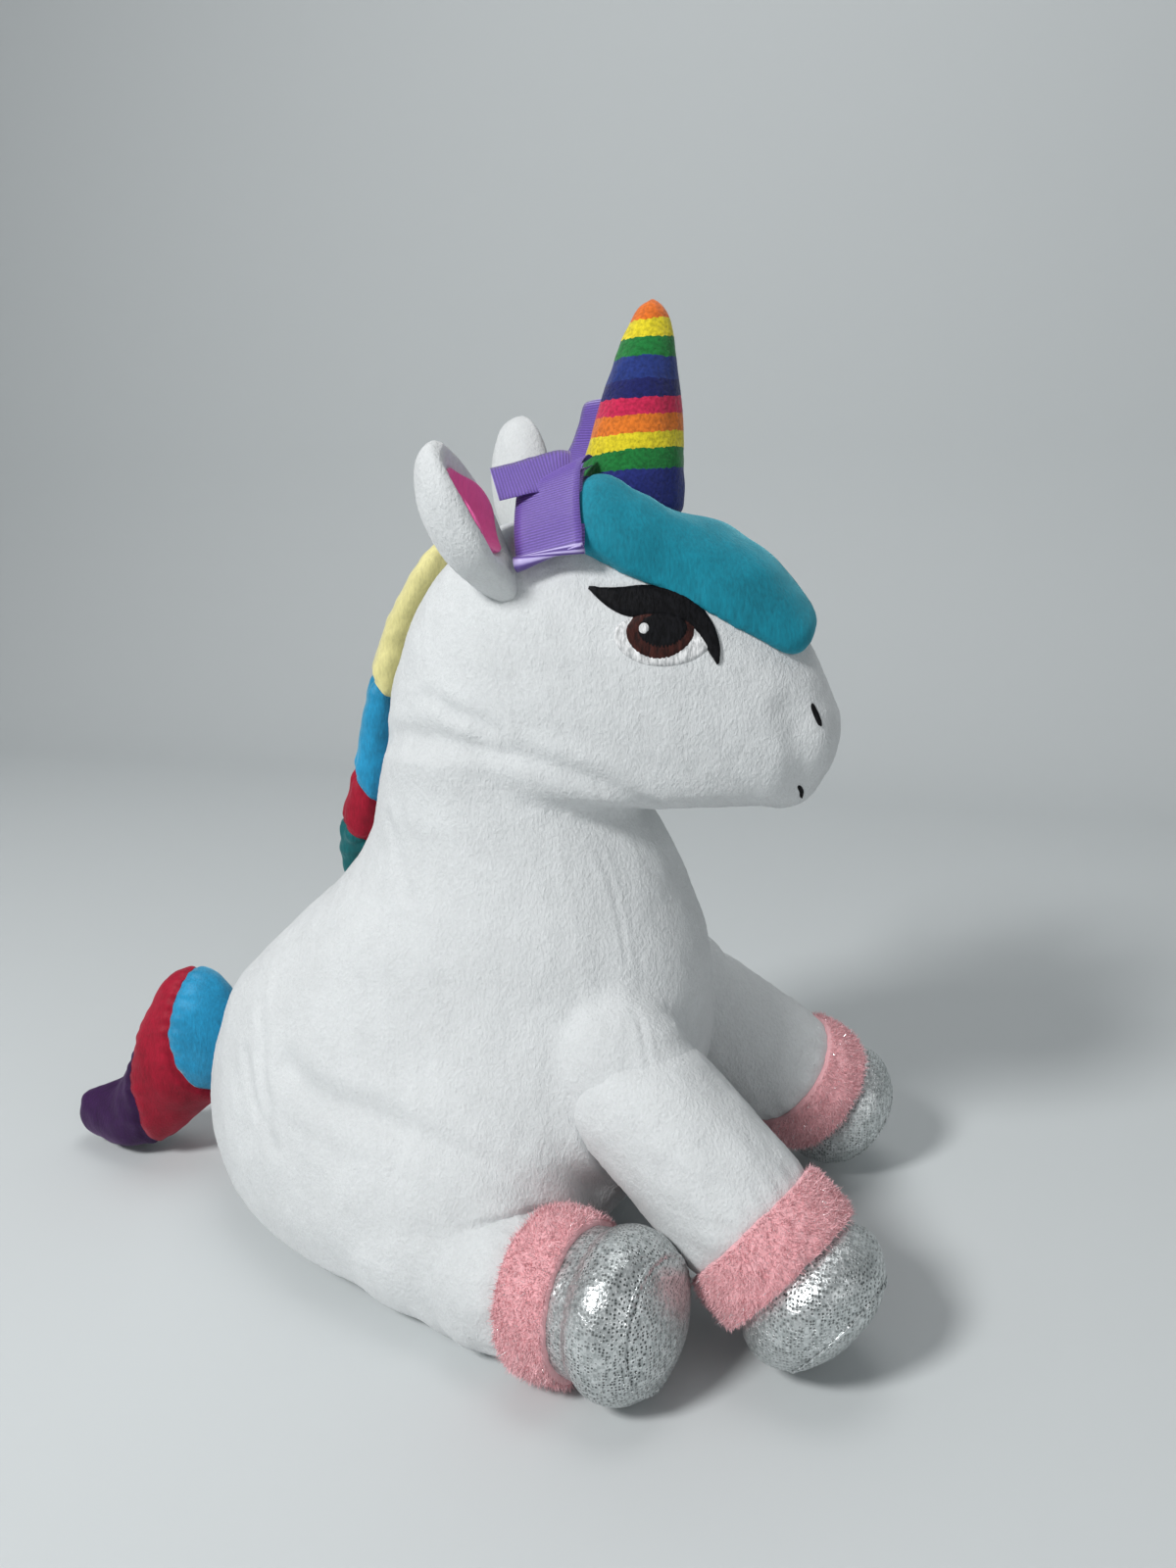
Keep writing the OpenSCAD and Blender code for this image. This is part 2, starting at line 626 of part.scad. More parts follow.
hoof_to_seam = 14;
cuff_to_hoof = 9;
function fore_centre(side) = norm(fore_hoof(side) - shoulder);
function fore_seam(side) = fore_centre(side) - cuff_to_hoof;
function hind_centre(side) = norm(hind_hoof(side) - haunch_seam);
function hind_seam(side) = hind_centre(side) - hoof_to_seam;
module fore(side) { along(shoulder, fore_hoof(side), side) children(); }
module hind(side) { along(haunch_seam, hind_hoof(side), side) children(); }

module fore_sleeve(side) { color(plush_white) fore(side) leg_sleeve(foreleg_r, fore_seam(side)); }
module fore_cuff(side) { color(cuff_pink) fore(side) leg_cuff(foreleg_r, fore_seam(side)); }
module fore_foot(side) { color(silver) fore(side) leg_hoof(foreleg_r, fore_seam(side), fore_centre(side)); }
module fore_sole(side) { color(silver) fore(side) leg_sole(fore_centre(side)); }
module fore_stuffing(side) {
  color(filling) fore(side) leg_stuffing(foreleg_r, fore_seam(side), fore_centre(side));
}
module hind_sleeve(side) { color(plush_white) hind(side) leg_sleeve(hind_leg_r, hind_seam(side)); }
module hind_cuff(side) { color(cuff_pink) hind(side) leg_cuff(hind_leg_r, hind_seam(side)); }
module hind_foot(side) { color(silver) hind(side) leg_hoof(hind_leg_r, hind_seam(side), hind_centre(side)); }
module hind_sole(side) { color(silver) hind(side) leg_sole(hind_centre(side)); }
module hind_stuffing(side) {
  color(filling) hind(side) leg_stuffing(hind_leg_r, hind_seam(side), hind_centre(side));
}

module foreleg_left_sleeve() { fore_sleeve(left); }
module foreleg_left_cuff() { fore_cuff(left); }
module foreleg_left_hoof() { fore_foot(left); }
module foreleg_left_sole() { fore_sole(left); }
module foreleg_left_stuffing() { fore_stuffing(left); }
module foreleg_right_sleeve() { fore_sleeve(right); }
module foreleg_right_cuff() { fore_cuff(right); }
module foreleg_right_hoof() { fore_foot(right); }
module foreleg_right_sole() { fore_sole(right); }
module foreleg_right_stuffing() { fore_stuffing(right); }
module hind_leg_left_sleeve() { hind_sleeve(left); }
module hind_leg_left_cuff() { hind_cuff(left); }
module hind_leg_left_hoof() { hind_foot(left); }
module hind_leg_left_sole() { hind_sole(left); }
module hind_leg_left_stuffing() { hind_stuffing(left); }
module hind_leg_right_sleeve() { hind_sleeve(right); }
module hind_leg_right_cuff() { hind_cuff(right); }
module hind_leg_right_hoof() { hind_foot(right); }
module hind_leg_right_sole() { hind_sole(right); }
module hind_leg_right_stuffing() { hind_stuffing(right); }

body_left();
body_right();
chest_gusset();
seat_panel();
body_stuffing();
pellet_pouch();
neck_stuffing();
face_left();
face_right();
nape_left();
nape_right();
crown_gusset();
chin_gusset();
head_stuffing();
eye_whites();
eye_irises();
eye_lids();
nostril_stitches();
mouth_stitch();
ear_left_back();
ear_left_lining();
ear_right_back();
ear_right_lining();
horn_cover();
horn_stuffing();
forelock_root();
forelock();
bow_loop_right();
bow_loop_left();
bow_tail();
bow_thread();
mane_yellow();
mane_blue();
mane_crimson();
mane_teal();
tail_blue();
tail_crimson();
tail_purple();
tail_stuffing();
foreleg_left_sleeve();
foreleg_left_cuff();
foreleg_left_hoof();
foreleg_left_sole();
foreleg_left_stuffing();
foreleg_right_sleeve();
foreleg_right_cuff();
foreleg_right_hoof();
foreleg_right_sole();
foreleg_right_stuffing();
hind_leg_left_sleeve();
hind_leg_left_cuff();
hind_leg_left_hoof();
hind_leg_left_sole();
hind_leg_left_stuffing();
hind_leg_right_sleeve();
hind_leg_right_cuff();
hind_leg_right_hoof();
hind_leg_right_sole();
hind_leg_right_stuffing();
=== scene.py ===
"""Looks of the sitting plush unicorn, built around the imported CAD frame. Places are in millimetres."""
import json
import math

import bmesh
import bpy
import numpy as np
from mathutils import Matrix, Vector
from mathutils.bvhtree import BVHTree


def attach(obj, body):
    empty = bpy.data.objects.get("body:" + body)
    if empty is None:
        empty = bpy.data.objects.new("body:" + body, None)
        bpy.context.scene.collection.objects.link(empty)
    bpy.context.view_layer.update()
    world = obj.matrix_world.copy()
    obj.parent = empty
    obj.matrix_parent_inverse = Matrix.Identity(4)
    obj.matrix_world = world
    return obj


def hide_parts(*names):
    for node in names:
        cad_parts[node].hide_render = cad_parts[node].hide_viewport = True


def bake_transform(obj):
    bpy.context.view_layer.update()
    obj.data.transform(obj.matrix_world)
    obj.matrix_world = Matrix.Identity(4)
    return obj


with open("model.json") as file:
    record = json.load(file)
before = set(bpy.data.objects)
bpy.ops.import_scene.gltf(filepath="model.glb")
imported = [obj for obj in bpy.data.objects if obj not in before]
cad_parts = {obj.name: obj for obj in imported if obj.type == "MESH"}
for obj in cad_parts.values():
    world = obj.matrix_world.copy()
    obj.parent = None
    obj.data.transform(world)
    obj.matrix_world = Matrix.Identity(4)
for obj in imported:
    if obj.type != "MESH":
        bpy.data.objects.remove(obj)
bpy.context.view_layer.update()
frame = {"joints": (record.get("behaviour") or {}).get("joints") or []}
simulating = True
MM = 0.001
joints = {joint["name"]: joint for joint in frame["joints"]}


def joint_place(name):
    """A joint's point, in millimetres."""
    return np.array(joints[name]["pos_m"]) / MM


# ----- shared helpers -----

def unit(way):
    return way / np.linalg.norm(way)


def unit_rows(ways):
    return ways / np.linalg.norm(ways, axis=1, keepdims=True)


def circle(count):
    """Even angles round a circle."""
    return np.linspace(0, 2 * math.pi, count, endpoint=False)


def bell(gap, width):
    """One where the gap is nothing, falling off over a width."""
    return np.exp(-(gap / width) ** 2)


def add_object(name, data):
    made = bpy.data.objects.new(name, data)
    bpy.context.scene.collection.objects.link(made)
    return made


def new_material(name, roughness, **sockets):
    """A material with its tree and main shader; the sockets given are constants on the shader itself."""
    material = bpy.data.materials.new(name)
    material.use_nodes = True
    tree = material.node_tree
    surface = tree.nodes["Principled BSDF"]
    surface.inputs["Roughness"].default_value = roughness
    for key, value in sockets.items():
        surface.inputs[key.replace("_", " ")].default_value = value
    return material, tree, surface


# ----- camera, floor and light -----

CAMERA_PLACE, CAMERA_AZIMUTH, CAMERA_PITCH, CAMERA_LENS = (0.175, -0.384, 0.252), 16, 12, 27.05


def add_camera():
    data = bpy.data.cameras.new("camera")
    data.lens = CAMERA_LENS
    data.sensor_width = 36
    data.clip_start = 0.01
    camera = add_object("camera", data)
    azimuth, pitch = math.radians(CAMERA_AZIMUTH), math.radians(CAMERA_PITCH)
    turn = Matrix.Rotation(azimuth, 4, "Z") @ Matrix.Rotation(math.pi / 2 - pitch, 4, "X")
    camera.matrix_world = Matrix.Translation(CAMERA_PLACE) @ turn
    bpy.context.scene.camera = camera


def add_light(name, place, target, size, power):
    data = bpy.data.lights.new(name, "AREA")
    data.shape = "DISK"
    data.size = size
    data.energy = power
    light = add_object(name, data)
    light.location = place
    light.rotation_euler = (Vector(target) - Vector(place)).to_track_quat("-Z", "Y").to_euler()


def add_stage():
    mesh = bpy.data.meshes.new("floor")
    reach, back, height, bend = 12.0, 1.1, 3.5, 0.35
    profile = [(-reach, 0), (back - bend, 0)]
    profile += [(back - bend + bend * math.sin(a), bend - bend * math.cos(a))
                for a in np.radians(np.arange(10, 91, 10))]
    profile += [(back, height)]
    points = [(x, y, z) for y, z in profile for x in (-reach, reach)]
    mesh.from_pydata(points, [], [(2 * i, 2 * i + 1, 2 * i + 3, 2 * i + 2) for i in range(len(profile) - 1)])
    mesh.shade_smooth()
    mesh.materials.append(new_material("pale_floor", 0.75, Base_Color=(0.60, 0.63, 0.635, 1))[0])
    add_object("floor", mesh)
    world = bpy.data.worlds.new("studio")
    world.use_nodes = True
    sky = world.node_tree.nodes["Background"].inputs
    sky["Color"].default_value = (0.90, 0.95, 1.0, 1)
    sky["Strength"].default_value = 0.20
    bpy.context.scene.world = world
    bpy.context.scene.view_settings.view_transform = "Standard"
    add_light("key", (-0.55, -1.05, 1.10), (0.03, 0, 0.13), 0.34, 19)
    add_light("fill", (1.3, -0.9, 0.6), (0.03, 0, 0.12), 1.0, 3.0)
    add_light("top", (0.0, 0.25, 1.7), (0.0, 0.25, 0), 1.0, 6)


add_camera()
add_stage()


# ----- materials -----

def add(tree, kind, inputs, output=0, **settings):
    """Adds a shader node and returns one of its outputs. Inputs are constants or other outputs."""
    made = tree.nodes.new("ShaderNode" + kind)
    for key, value in settings.items():
        setattr(made, key, value)
    for key, value in inputs.items():
        if isinstance(value, bpy.types.NodeSocket):
            tree.links.new(value, made.inputs[key])
        else:
            made.inputs[key].default_value = value
    return made.outputs[output]


def maths(tree, operation, first, second=0.0):
    return add(tree, "Math", {0: first, 1: second}, operation=operation)


def plus(tree, first, second, factor):
    """The first value and a multiple of the second."""
    return maths(tree, "ADD", first, maths(tree, "MULTIPLY", second, factor))


def noise(tree, place, scale, detail=2, roughness=0.5):
    return add(tree, "TexNoise", {"Vector": place, "Scale": scale, "Detail": detail, "Roughness": roughness})


def stored(tree, name):
    """A number that the mesh carries."""
    return add(tree, "Attribute", {}, output=2, attribute_name=name)


def mix(tree, share, first, second):
    """Mixes two colours."""
    return add(tree, "Mix", {0: share, 6: first, 7: second}, output=2, data_type="RGBA")


def fade(tree, value, low, high, to_low=0.0, to_high=1.0):
    return add(tree, "MapRange", {0: value, 1: low, 2: high, 3: to_low, 4: to_high})


def shade(colour, factor):
    return tuple(min(1, c * factor) for c in colour[:3]) + (1,)


def finish_surface(tree, surface, base, height, depth, strength):
    """A material's colour, and the height that its relief follows."""
    tree.links.new(base, surface.inputs["Base Color"])
    bump = add(tree, "Bump", {"Height": height, "Distance": depth, "Strength": strength})
    tree.links.new(bump, surface.inputs["Normal"])


def object_place(tree, scale=(1, 1, 1), turn=(0, 0, 0)):
    place = add(tree, "TexCoord", {}, output=3)
    return add(tree, "Mapping", {"Vector": place, "Scale": scale, "Rotation": turn})


def pile_material(name, colour, pile=1.0, depth=0.00045, sheen=0.35, roughness=0.9, streak=0.3,
                  variation=0.07, tint=(1, 1, 1, 1)):
    """Short brushed pile: tufts about pile millimetres wide, combed along Z, with soft cloudy patches."""
    material, tree, surface = new_material(name, roughness, Sheen_Weight=sheen, Sheen_Roughness=0.45,
                                           Sheen_Tint=tint, Specular_IOR_Level=0.25)
    place = object_place(tree)
    combed = object_place(tree, scale=(1, 1, streak), turn=(0.25, 0.2, 0))
    clouds = noise(tree, place, 34, 3, 0.6)
    tufts = noise(tree, combed, 820 / pile, 3, 0.62)
    lay = noise(tree, combed, 165 / pile, 2, 0.5)
    light = plus(tree, plus(tree, maths(tree, "MULTIPLY", clouds, 0.45), tufts, 0.40), lay, 0.15)
    share = fade(tree, light, 0.36, 0.64)
    base = mix(tree, share, shade(colour, 1 - 1.6 * variation), shade(colour, 1 + variation))
    finish_surface(tree, surface, base, plus(tree, tufts, lay, 0.8), depth, 0.85)
    return material


def foil_material(name):
    """Knit printed with silver foil, broken by dark dots a millimetre apart. Each cell has its own slant."""
    material, tree, surface = new_material(name, 0.34, Specular_IOR_Level=0.6)
    place = object_place(tree)
    cells = tree.nodes.new("ShaderNodeTexVoronoi")
    cells.inputs["Scale"].default_value = 960
    cells.inputs["Randomness"].default_value = 0.45
    tree.links.new(place, cells.inputs["Vector"])
    foil = fade(tree, cells.outputs["Distance"], 0.27, 0.40)
    # In broad patches the dark dots are mixed in at about a third of their strength, so the foil is lighter
    # there.
    dot_fade_patches = noise(tree, place, 45, 3)
    dots = fade(tree, dot_fade_patches, 0.38, 0.60, 0.35, 1.0)
    spark = add(tree, "SeparateColor", {0: cells.outputs["Color"]})
    metal = mix(tree, spark, (0.40, 0.43, 0.43, 1), (0.74, 0.77, 0.77, 1))
    print_tone = mix(tree, foil, (0.06, 0.07, 0.07, 1), metal)
    base = mix(tree, dots, metal, print_tone)
    tree.links.new(fade(tree, foil, 0, 1, 0.35, 0.72), surface.inputs["Metallic"])
    slant = maths(tree, "ADD", maths(tree, "MULTIPLY", spark, 1.1), foil)
    grain = noise(tree, place, 500)
    finish_surface(tree, surface, base, plus(tree, slant, grain, 2.0), 0.00024, 0.8)
    return material


def horn_material(name, length, colours, ends):
    """Plush printed with stripes. Ends are their upper limits along the mesh's attribute called rise."""
    material, tree, surface = new_material(name, 0.9, Sheen_Weight=0.25, Sheen_Roughness=0.5,
                                           Specular_IOR_Level=0.2)
    place = object_place(tree)
    rise = stored(tree, "rise")
    fuzz = noise(tree, place, 700)
    wave = noise(tree, place, 60, 1)
    rise = maths(tree, "ADD", rise, fade(tree, fuzz, 0.3, 0.7, -0.3, 0.3))
    rise = maths(tree, "ADD", rise, fade(tree, wave, 0.3, 0.7, -0.6, 0.6))
    ramp = tree.nodes.new("ShaderNodeValToRGB")
    ramp.color_ramp.interpolation = "CONSTANT"
    tree.links.new(maths(tree, "DIVIDE", rise, length), ramp.inputs[0])
    stops = ramp.color_ramp.elements
    while len(stops) < len(colours):
        stops.new(0.5)
    starts = [0.0] + [end / length for end in ends]
    for stop, start, colour in zip(stops, starts, colours):
        stop.position = start
        stop.color = (*colour, 1)
    tufts = noise(tree, place, 850, 3)
    dark = add(tree, "HueSaturation", {"Value": 0.62, "Color": ramp.outputs[0]})
    base = mix(tree, fade(tree, tufts, 0.32, 0.62), dark, ramp.outputs[0])
    finish_surface(tree, surface, base, tufts, 0.0005, 0.8)
    return material


def ribbon_material(name, colour):
    """Grosgrain: satin threads over the ribs that the mesh carries, with painted shade in the hollows
    between the ribs and a painted pale lilac highlight on the rib tops where the ribbon folds.
    """
    material, tree, surface = new_material(name, 0.5, Sheen_Weight=0.35, Sheen_Roughness=0.35,
                                           Specular_IOR_Level=0.45)
    place = object_place(tree)
    threads = noise(tree, place, 1500)
    rib = stored(tree, "rib")
    bent = stored(tree, "bent")
    tone = mix(tree, fade(tree, threads, 0.3, 0.7), shade(colour, 0.84), shade(colour, 1.1))
    # Painted shade: the hollows between the ribs are painted down to half the colour.
    base = mix(tree, rib, shade(colour, 0.5), tone)
    # Painted highlight: the rib tops where the ribbon folds are painted pale lilac.
    painted_fold_highlight = maths(tree, "MULTIPLY", bent, fade(tree, rib, 0.45, 0.85))
    base = mix(tree, painted_fold_highlight, base, (0.56, 0.49, 0.80, 1))
    finish_surface(tree, surface, base, threads, 0.0001, 0.6)
    return material


def thread_material(name, colour, light=1.5, gloss=0.4):
    """Embroidery thread: fine glossy strands side by side."""
    material, tree, surface = new_material(name, 0.6, Specular_IOR_Level=gloss)
    place = object_place(tree, scale=(1, 1, 0.22))
    strands = noise(tree, place, 1250, 2, 0.7)
    share = fade(tree, strands, 0.35, 0.68)
    base = mix(tree, share, shade(colour, 0.45), shade(colour, light))
    finish_surface(tree, surface, base, strands, 0.0003, 0.9)
    return material


def fluff_material(name, colour):
    """Long pile: each fibre has its own tone, and a few are sparkling tinsel."""
    material, tree, surface = new_material(name, 0.62, Sheen_Weight=0.3, Specular_IOR_Level=0.35)
    own = add(tree, "NewGeometry", {}, output=8)
    tone = mix(tree, own, shade(colour, 0.72), shade(colour, 1.22))
    tinsel = maths(tree, "GREATER_THAN", own, 0.955)
    base = mix(tree, tinsel, tone, (1.0, 0.93, 0.94, 1))
    tree.links.new(base, surface.inputs["Base Color"])
    tree.links.new(maths(tree, "MULTIPLY", tinsel, 0.7), surface.inputs["Metallic"])
    tree.links.new(fade(tree, tinsel, 0, 1, 0.62, 0.2), surface.inputs["Roughness"])
    return material


def velour(name, colour, variation=0.25, roughness=0.6, sheen=0.2, tint=(1, 1, 1, 1)):
    """Thin shiny velour of the mane and the tail."""
    return pile_material(name, colour, pile=0.6, depth=0.00025, variation=variation, roughness=roughness,
                         sheen=sheen, tint=tint)


white_plush = pile_material("white_plush", (0.68, 0.70, 0.705), pile=0.75, depth=0.0007, variation=0.06,
                            sheen=0.3, streak=0.6)
hot_pink = pile_material("pink_plush", (0.93, 0.15, 0.42), pile=0.8, sheen=0.4)
teal_velvet = pile_material("teal_velvet", (0.004, 0.225, 0.315), pile=0.7, variation=0.22, sheen=0.4,
                            roughness=0.7, depth=0.00025, tint=(0.35, 0.9, 1, 1))
yellow_velour = velour("yellow_velour", (0.74, 0.68, 0.30), variation=0.14, sheen=0.5)
blue_velour = velour("blue_velour", (0.012, 0.25, 0.46), roughness=0.5, sheen=0.6, tint=(0.5, 0.9, 1, 1))
crimson_velour = velour("crimson_velour", (0.32, 0.003, 0.022), tint=(1, 0.35, 0.45, 1))
green_velour = velour("green_velour", (0.003, 0.11, 0.12), tint=(0.5, 1, 1, 1))
purple_velour = velour("purple_velour", (0.032, 0.004, 0.055), variation=0.3, roughness=0.65, sheen=0.12,
                       tint=(0.8, 0.5, 1, 1))
silver_foil = foil_material("silver_foil")
purple_ribbon = ribbon_material("purple_ribbon", (0.19, 0.11, 0.49))
black_thread = thread_material("black_thread", (0.004, 0.004, 0.005), light=2.2, gloss=0.12)
brown_thread = thread_material("brown_thread", (0.032, 0.008, 0.006), light=1.8, gloss=0.2)
white_thread = thread_material("white_thread", (0.93, 0.95, 0.96), light=1.1)
pink_fluff = fluff_material("pink_fluff", (0.90, 0.50, 0.53))
pink_backing = pile_material("pink_backing", (0.88, 0.47, 0.50), pile=1.1, depth=0.0008, sheen=0.4)


# ----- mesh helpers -----

def make_piece(name, points, faces, material):
    """A smooth mesh object from points in millimetres, with outward faces."""
    mesh = bpy.data.meshes.new(name)
    work = bmesh.new()
    corners = [work.verts.new(p) for p in (np.asarray(points, float) * MM).tolist()]
    for face in faces:
        work.faces.new([corners[i] for i in face])
    bmesh.ops.recalc_face_normals(work, faces=work.faces)
    work.to_mesh(mesh)
    work.free()
    mesh.shade_smooth()
    mesh.materials.append(material)
    return add_object(name, mesh)


def loft(rings):
    """Points and faces of a closed skin through rings of equal length."""
    rings = [np.asarray(ring, float) for ring in rings]
    count, rows = len(rings[0]), len(rings)
    points = np.concatenate(rings + [rings[0].mean(0)[None], rings[-1].mean(0)[None]])
    faces = []
    for i in range(rows - 1):
        for j in range(count):
            k = (j + 1) % count
            faces.append((i * count + j, i * count + k, (i + 1) * count + k, (i + 1) * count + j))
    last = (rows - 1) * count
    for j in range(count):
        k = (j + 1) % count
        faces.append((rows * count, k, j))
        faces.append((rows * count + 1, last + j, last + k))
    return points, faces


def join_meshes(parts):
    """One list of points and faces from several."""
    points, faces, start = [], [], 0
    for part_points, part_faces in parts:
        points.append(part_points)
        faces += [tuple(i + start for i in face) for face in part_faces]
        start += len(part_points)
    return np.concatenate(points), faces


def bake_modifiers(piece):
    """The piece's mesh becomes what its modifiers make of it."""
    scene_state = bpy.context.evaluated_depsgraph_get()
    mesh = bpy.data.meshes.new_from_object(piece.evaluated_get(scene_state))
    mesh.shade_smooth()
    piece.modifiers.clear()
    piece.data = mesh


def remesh(piece, voxel, smoothing):
    """An even quad skin over the joined solids, then eased."""
    modifier = piece.modifiers.new("remesh", "REMESH")
    modifier.mode = "VOXEL"
    modifier.voxel_size = voxel * MM
    bake_modifiers(piece)
    modifier = piece.modifiers.new("ease", "SMOOTH")
    modifier.factor = 0.5
    modifier.iterations = smoothing
    bake_modifiers(piece)


def subdivide(piece):
    piece.modifiers.new("finer", "SUBSURF").levels = 1
    bake_modifiers(piece)


def vectors(layer, field):
    data = np.empty(len(layer) * 3, np.float32)
    layer.foreach_get(field, data)
    return data.reshape(-1, 3).astype(float)


def get_points(piece):
    return vectors(piece.data.vertices, "co") / MM


def points_normals(piece):
    return get_points(piece), vectors(piece.data.vertex_normals, "vector")


def set_points(piece, points):
    piece.data.vertices.foreach_set("co", (points * MM).astype(np.float32).ravel())
    piece.data.update()


def store(piece, name, values):
    """A number on each of the mesh's points, for its material to read."""
    layer = piece.data.attributes.new(name, "FLOAT", "POINT")
    layer.data.foreach_set("value", np.array(values, np.float32))


def dress(piece, *nodes, body=None, across=None, fill=None, slot=None):
    """Puts a piece in the frame: parents it to the body that it rides on, bakes its place into its mesh when
    it crosses between two bodies, and hides the nodes that it stands for. The two bodies and the start and
    end of the turning are not read. Fill, how full it is, is not used. Slot, its finish, is not used."""
    if body:
        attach(piece, body)
    if across:
        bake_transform(piece)
    if nodes:
        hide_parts(*nodes)


CLOTH_FRAMES = 20
PLUSH_CLOTH = {"quality": 5, "mass": 0.3, "tension_stiffness": 12, "compression_stiffness": 12,
               "shear_stiffness": 6, "bending_stiffness": 0.6, "use_pressure": True}


def inflate(piece, cap, shrink=1.0, pressure=4, pinned=None):
    """Fills the padded piece: cloth under pressure, starting a little smaller, with seams held in place.
    No point ends further than the cap from where it was."""
    if not simulating:
        return
    target, normals = points_normals(piece)
    set_points(piece, target - normals * shrink)
    modifier = piece.modifiers.new("filling", "CLOTH")
    cloth = modifier.settings
    for key, value in PLUSH_CLOTH.items():
        setattr(cloth, key, value)
    cloth.uniform_pressure_force = pressure
    cloth.effector_weights.gravity = 0
    if pinned is not None:
        group = piece.vertex_groups.new(name="seam")
        pinned = np.round(pinned, 1)
        for share in np.unique(pinned):
            if share > 0:
                members = np.nonzero(pinned == share)[0].tolist()
                group.add(members, float(share), "REPLACE")
        cloth.vertex_group_mass = "seam"
        cloth.pin_stiffness = 1
    modifier.point_cache.frame_start = 1
    modifier.point_cache.frame_end = CLOTH_FRAMES
    scene = bpy.context.scene
    for step in range(CLOTH_FRAMES):
        scene.frame_set(step + 1)
    bake_modifiers(piece)
    scene.frame_set(1)
    piece.vertex_groups.clear()
    moved = get_points(piece) - target
    length = np.linalg.norm(moved, axis=1, keepdims=True)
    set_points(piece, target + moved * np.minimum(1, cap / np.maximum(length, 1e-6)))


def smooth_path(points, step=0.8):
    """Even points along a smooth curve through the given ones."""
    p = np.asarray(points, float)
    p = np.concatenate([2 * p[:1] - p[1:2], p, 2 * p[-1:] - p[-2:-1]])
    out = []
    for a, b, c, d in zip(p, p[1:], p[2:], p[3:]):
        count = max(2, int(np.linalg.norm(c - b) / step))
        t = (np.arange(count) / count)[:, None]
        out.append(0.5 * (2 * b + (c - a) * t + (2 * a - 5 * b + 4 * c - d) * t ** 2
                          + (3 * b - 3 * c + d - a) * t ** 3))
    out.append(p[-2:-1])
    return np.concatenate(out)


def heading(path, i):
    """The direction of a path at one of its points."""
    return unit(path[min(i + 1, len(path) - 1)] - path[max(i - 1, 0)])


def run_of(path):
    """How far along a path each of its points is."""
    return np.concatenate([[0], np.cumsum(np.linalg.norm(np.diff(path, axis=0), axis=1))])


def tree_of(piece):
    return BVHTree.FromPolygons([v.co / MM for v in piece.data.vertices],
                                [tuple(f.vertices) for f in piece.data.polygons])


def onto(tree, points):
    """Each point's nearest place on the surface."""
    return np.array([tree.find_nearest(Vector(p))[0] for p in points])


def distance_to(points, path, reach=30.0):
    """Distance of every point from a path, up to a reach."""
    out = np.full(len(points), reach)
    near = np.all((points > path.min(0) - reach) & (points < path.max(0) + reach), axis=1).nonzero()[0]
    for start in range(0, len(near), 4000):
        part = near[start:start + 4000]
        gap = points[part][:, None, :] - path[None]
        out[part] = np.minimum(reach, np.sqrt((gap ** 2).sum(-1)).min(1))
    return out


def mirrored(path):
    return [(x, -y, z) for x, y, z in path]


def waves(points, size, seed):
    """Smooth noise from -1 to 1 with bumps about size millimetres wide."""
    chance = np.random.default_rng(seed)
    total = np.zeros(len(points))
    for _ in range(7):
        way = chance.normal(size=3)
        way *= 2 * math.pi / (size * chance.uniform(0.7, 1.7)) / np.linalg.norm(way)
        bend = chance.normal(size=3) * 0.03
        total += np.sin(points @ way + chance.uniform(0, 6.3) + 1.5 * np.sin(points @ bend * 6))
    return total / 4.5


def press(points, normals, path, width, depth, lip=0.3):
    """A sewn groove or a crease along a path, with fuller cloth beside it."""
    gap = distance_to(points, path, reach=4 * width)
    push = -depth * bell(gap, width) + lip * depth * bell(gap - 2.1 * width, width)
    push[gap >= 4 * width] = 0
    return points + normals * push[:, None]


def hermite(table, share):
    """Smooth values between the rows of a table whose first column rises."""
    table = np.asarray(table, float)
    x, y = table[:, 0], table[:, 1:]
    slope = np.gradient(y, x, axis=0)
    share = np.clip(share, x[0], x[-1])
    i = np.clip(np.searchsorted(x, share, "right") - 1, 0, len(x) - 2)
    span = x[i + 1] - x[i]
    t = (share - x[i]) / span
    return (y[i] * (2 * t ** 3 - 3 * t ** 2 + 1) + slope[i] * span * (t ** 3 - 2 * t ** 2 + t)
            + y[i + 1] * (3 * t ** 2 - 2 * t ** 3) + slope[i + 1] * span * (t ** 3 - t ** 2))


def section(z, rear, front, half, taper, count=72):
    """A level ring of the body or head, narrower in front when taper is positive."""
    angle = circle(count)
    side = np.sign(np.sin(angle)) * np.abs(np.sin(angle)) ** 0.88
    ring = np.empty((count, 3))
    ring[:, 0] = (rear + front) / 2 + (front - rear) / 2 * np.cos(angle)
    ring[:, 1] = half * side * (1 - taper * np.cos(angle))
    ring[:, 2] = z
    return ring


def ball(centre, radii, count=24):
    """Points and faces of an ellipsoid."""
    rings = []
    for a in np.linspace(-80, 80, 9):
        c, s = math.cos(math.radians(a)), math.sin(math.radians(a))
        t = circle(count)
        rings.append(np.stack([centre[0] + radii[0] * c * np.cos(t), centre[1] + radii[1] * c * np.sin(t),
                               np.full(count, centre[2] + radii[2] * s)], 1))
    return loft(rings)


def settle(points, floor=0.25):
    """Cloth that reaches the floor lies flat on it."""
    points[:, 2] = np.maximum(points[:, 2], floor)
    return points


# ----- white skin of body and head -----

BODY_HEIGHT, BODY_LENGTH, BODY_WIDTH = 148, 202, 166
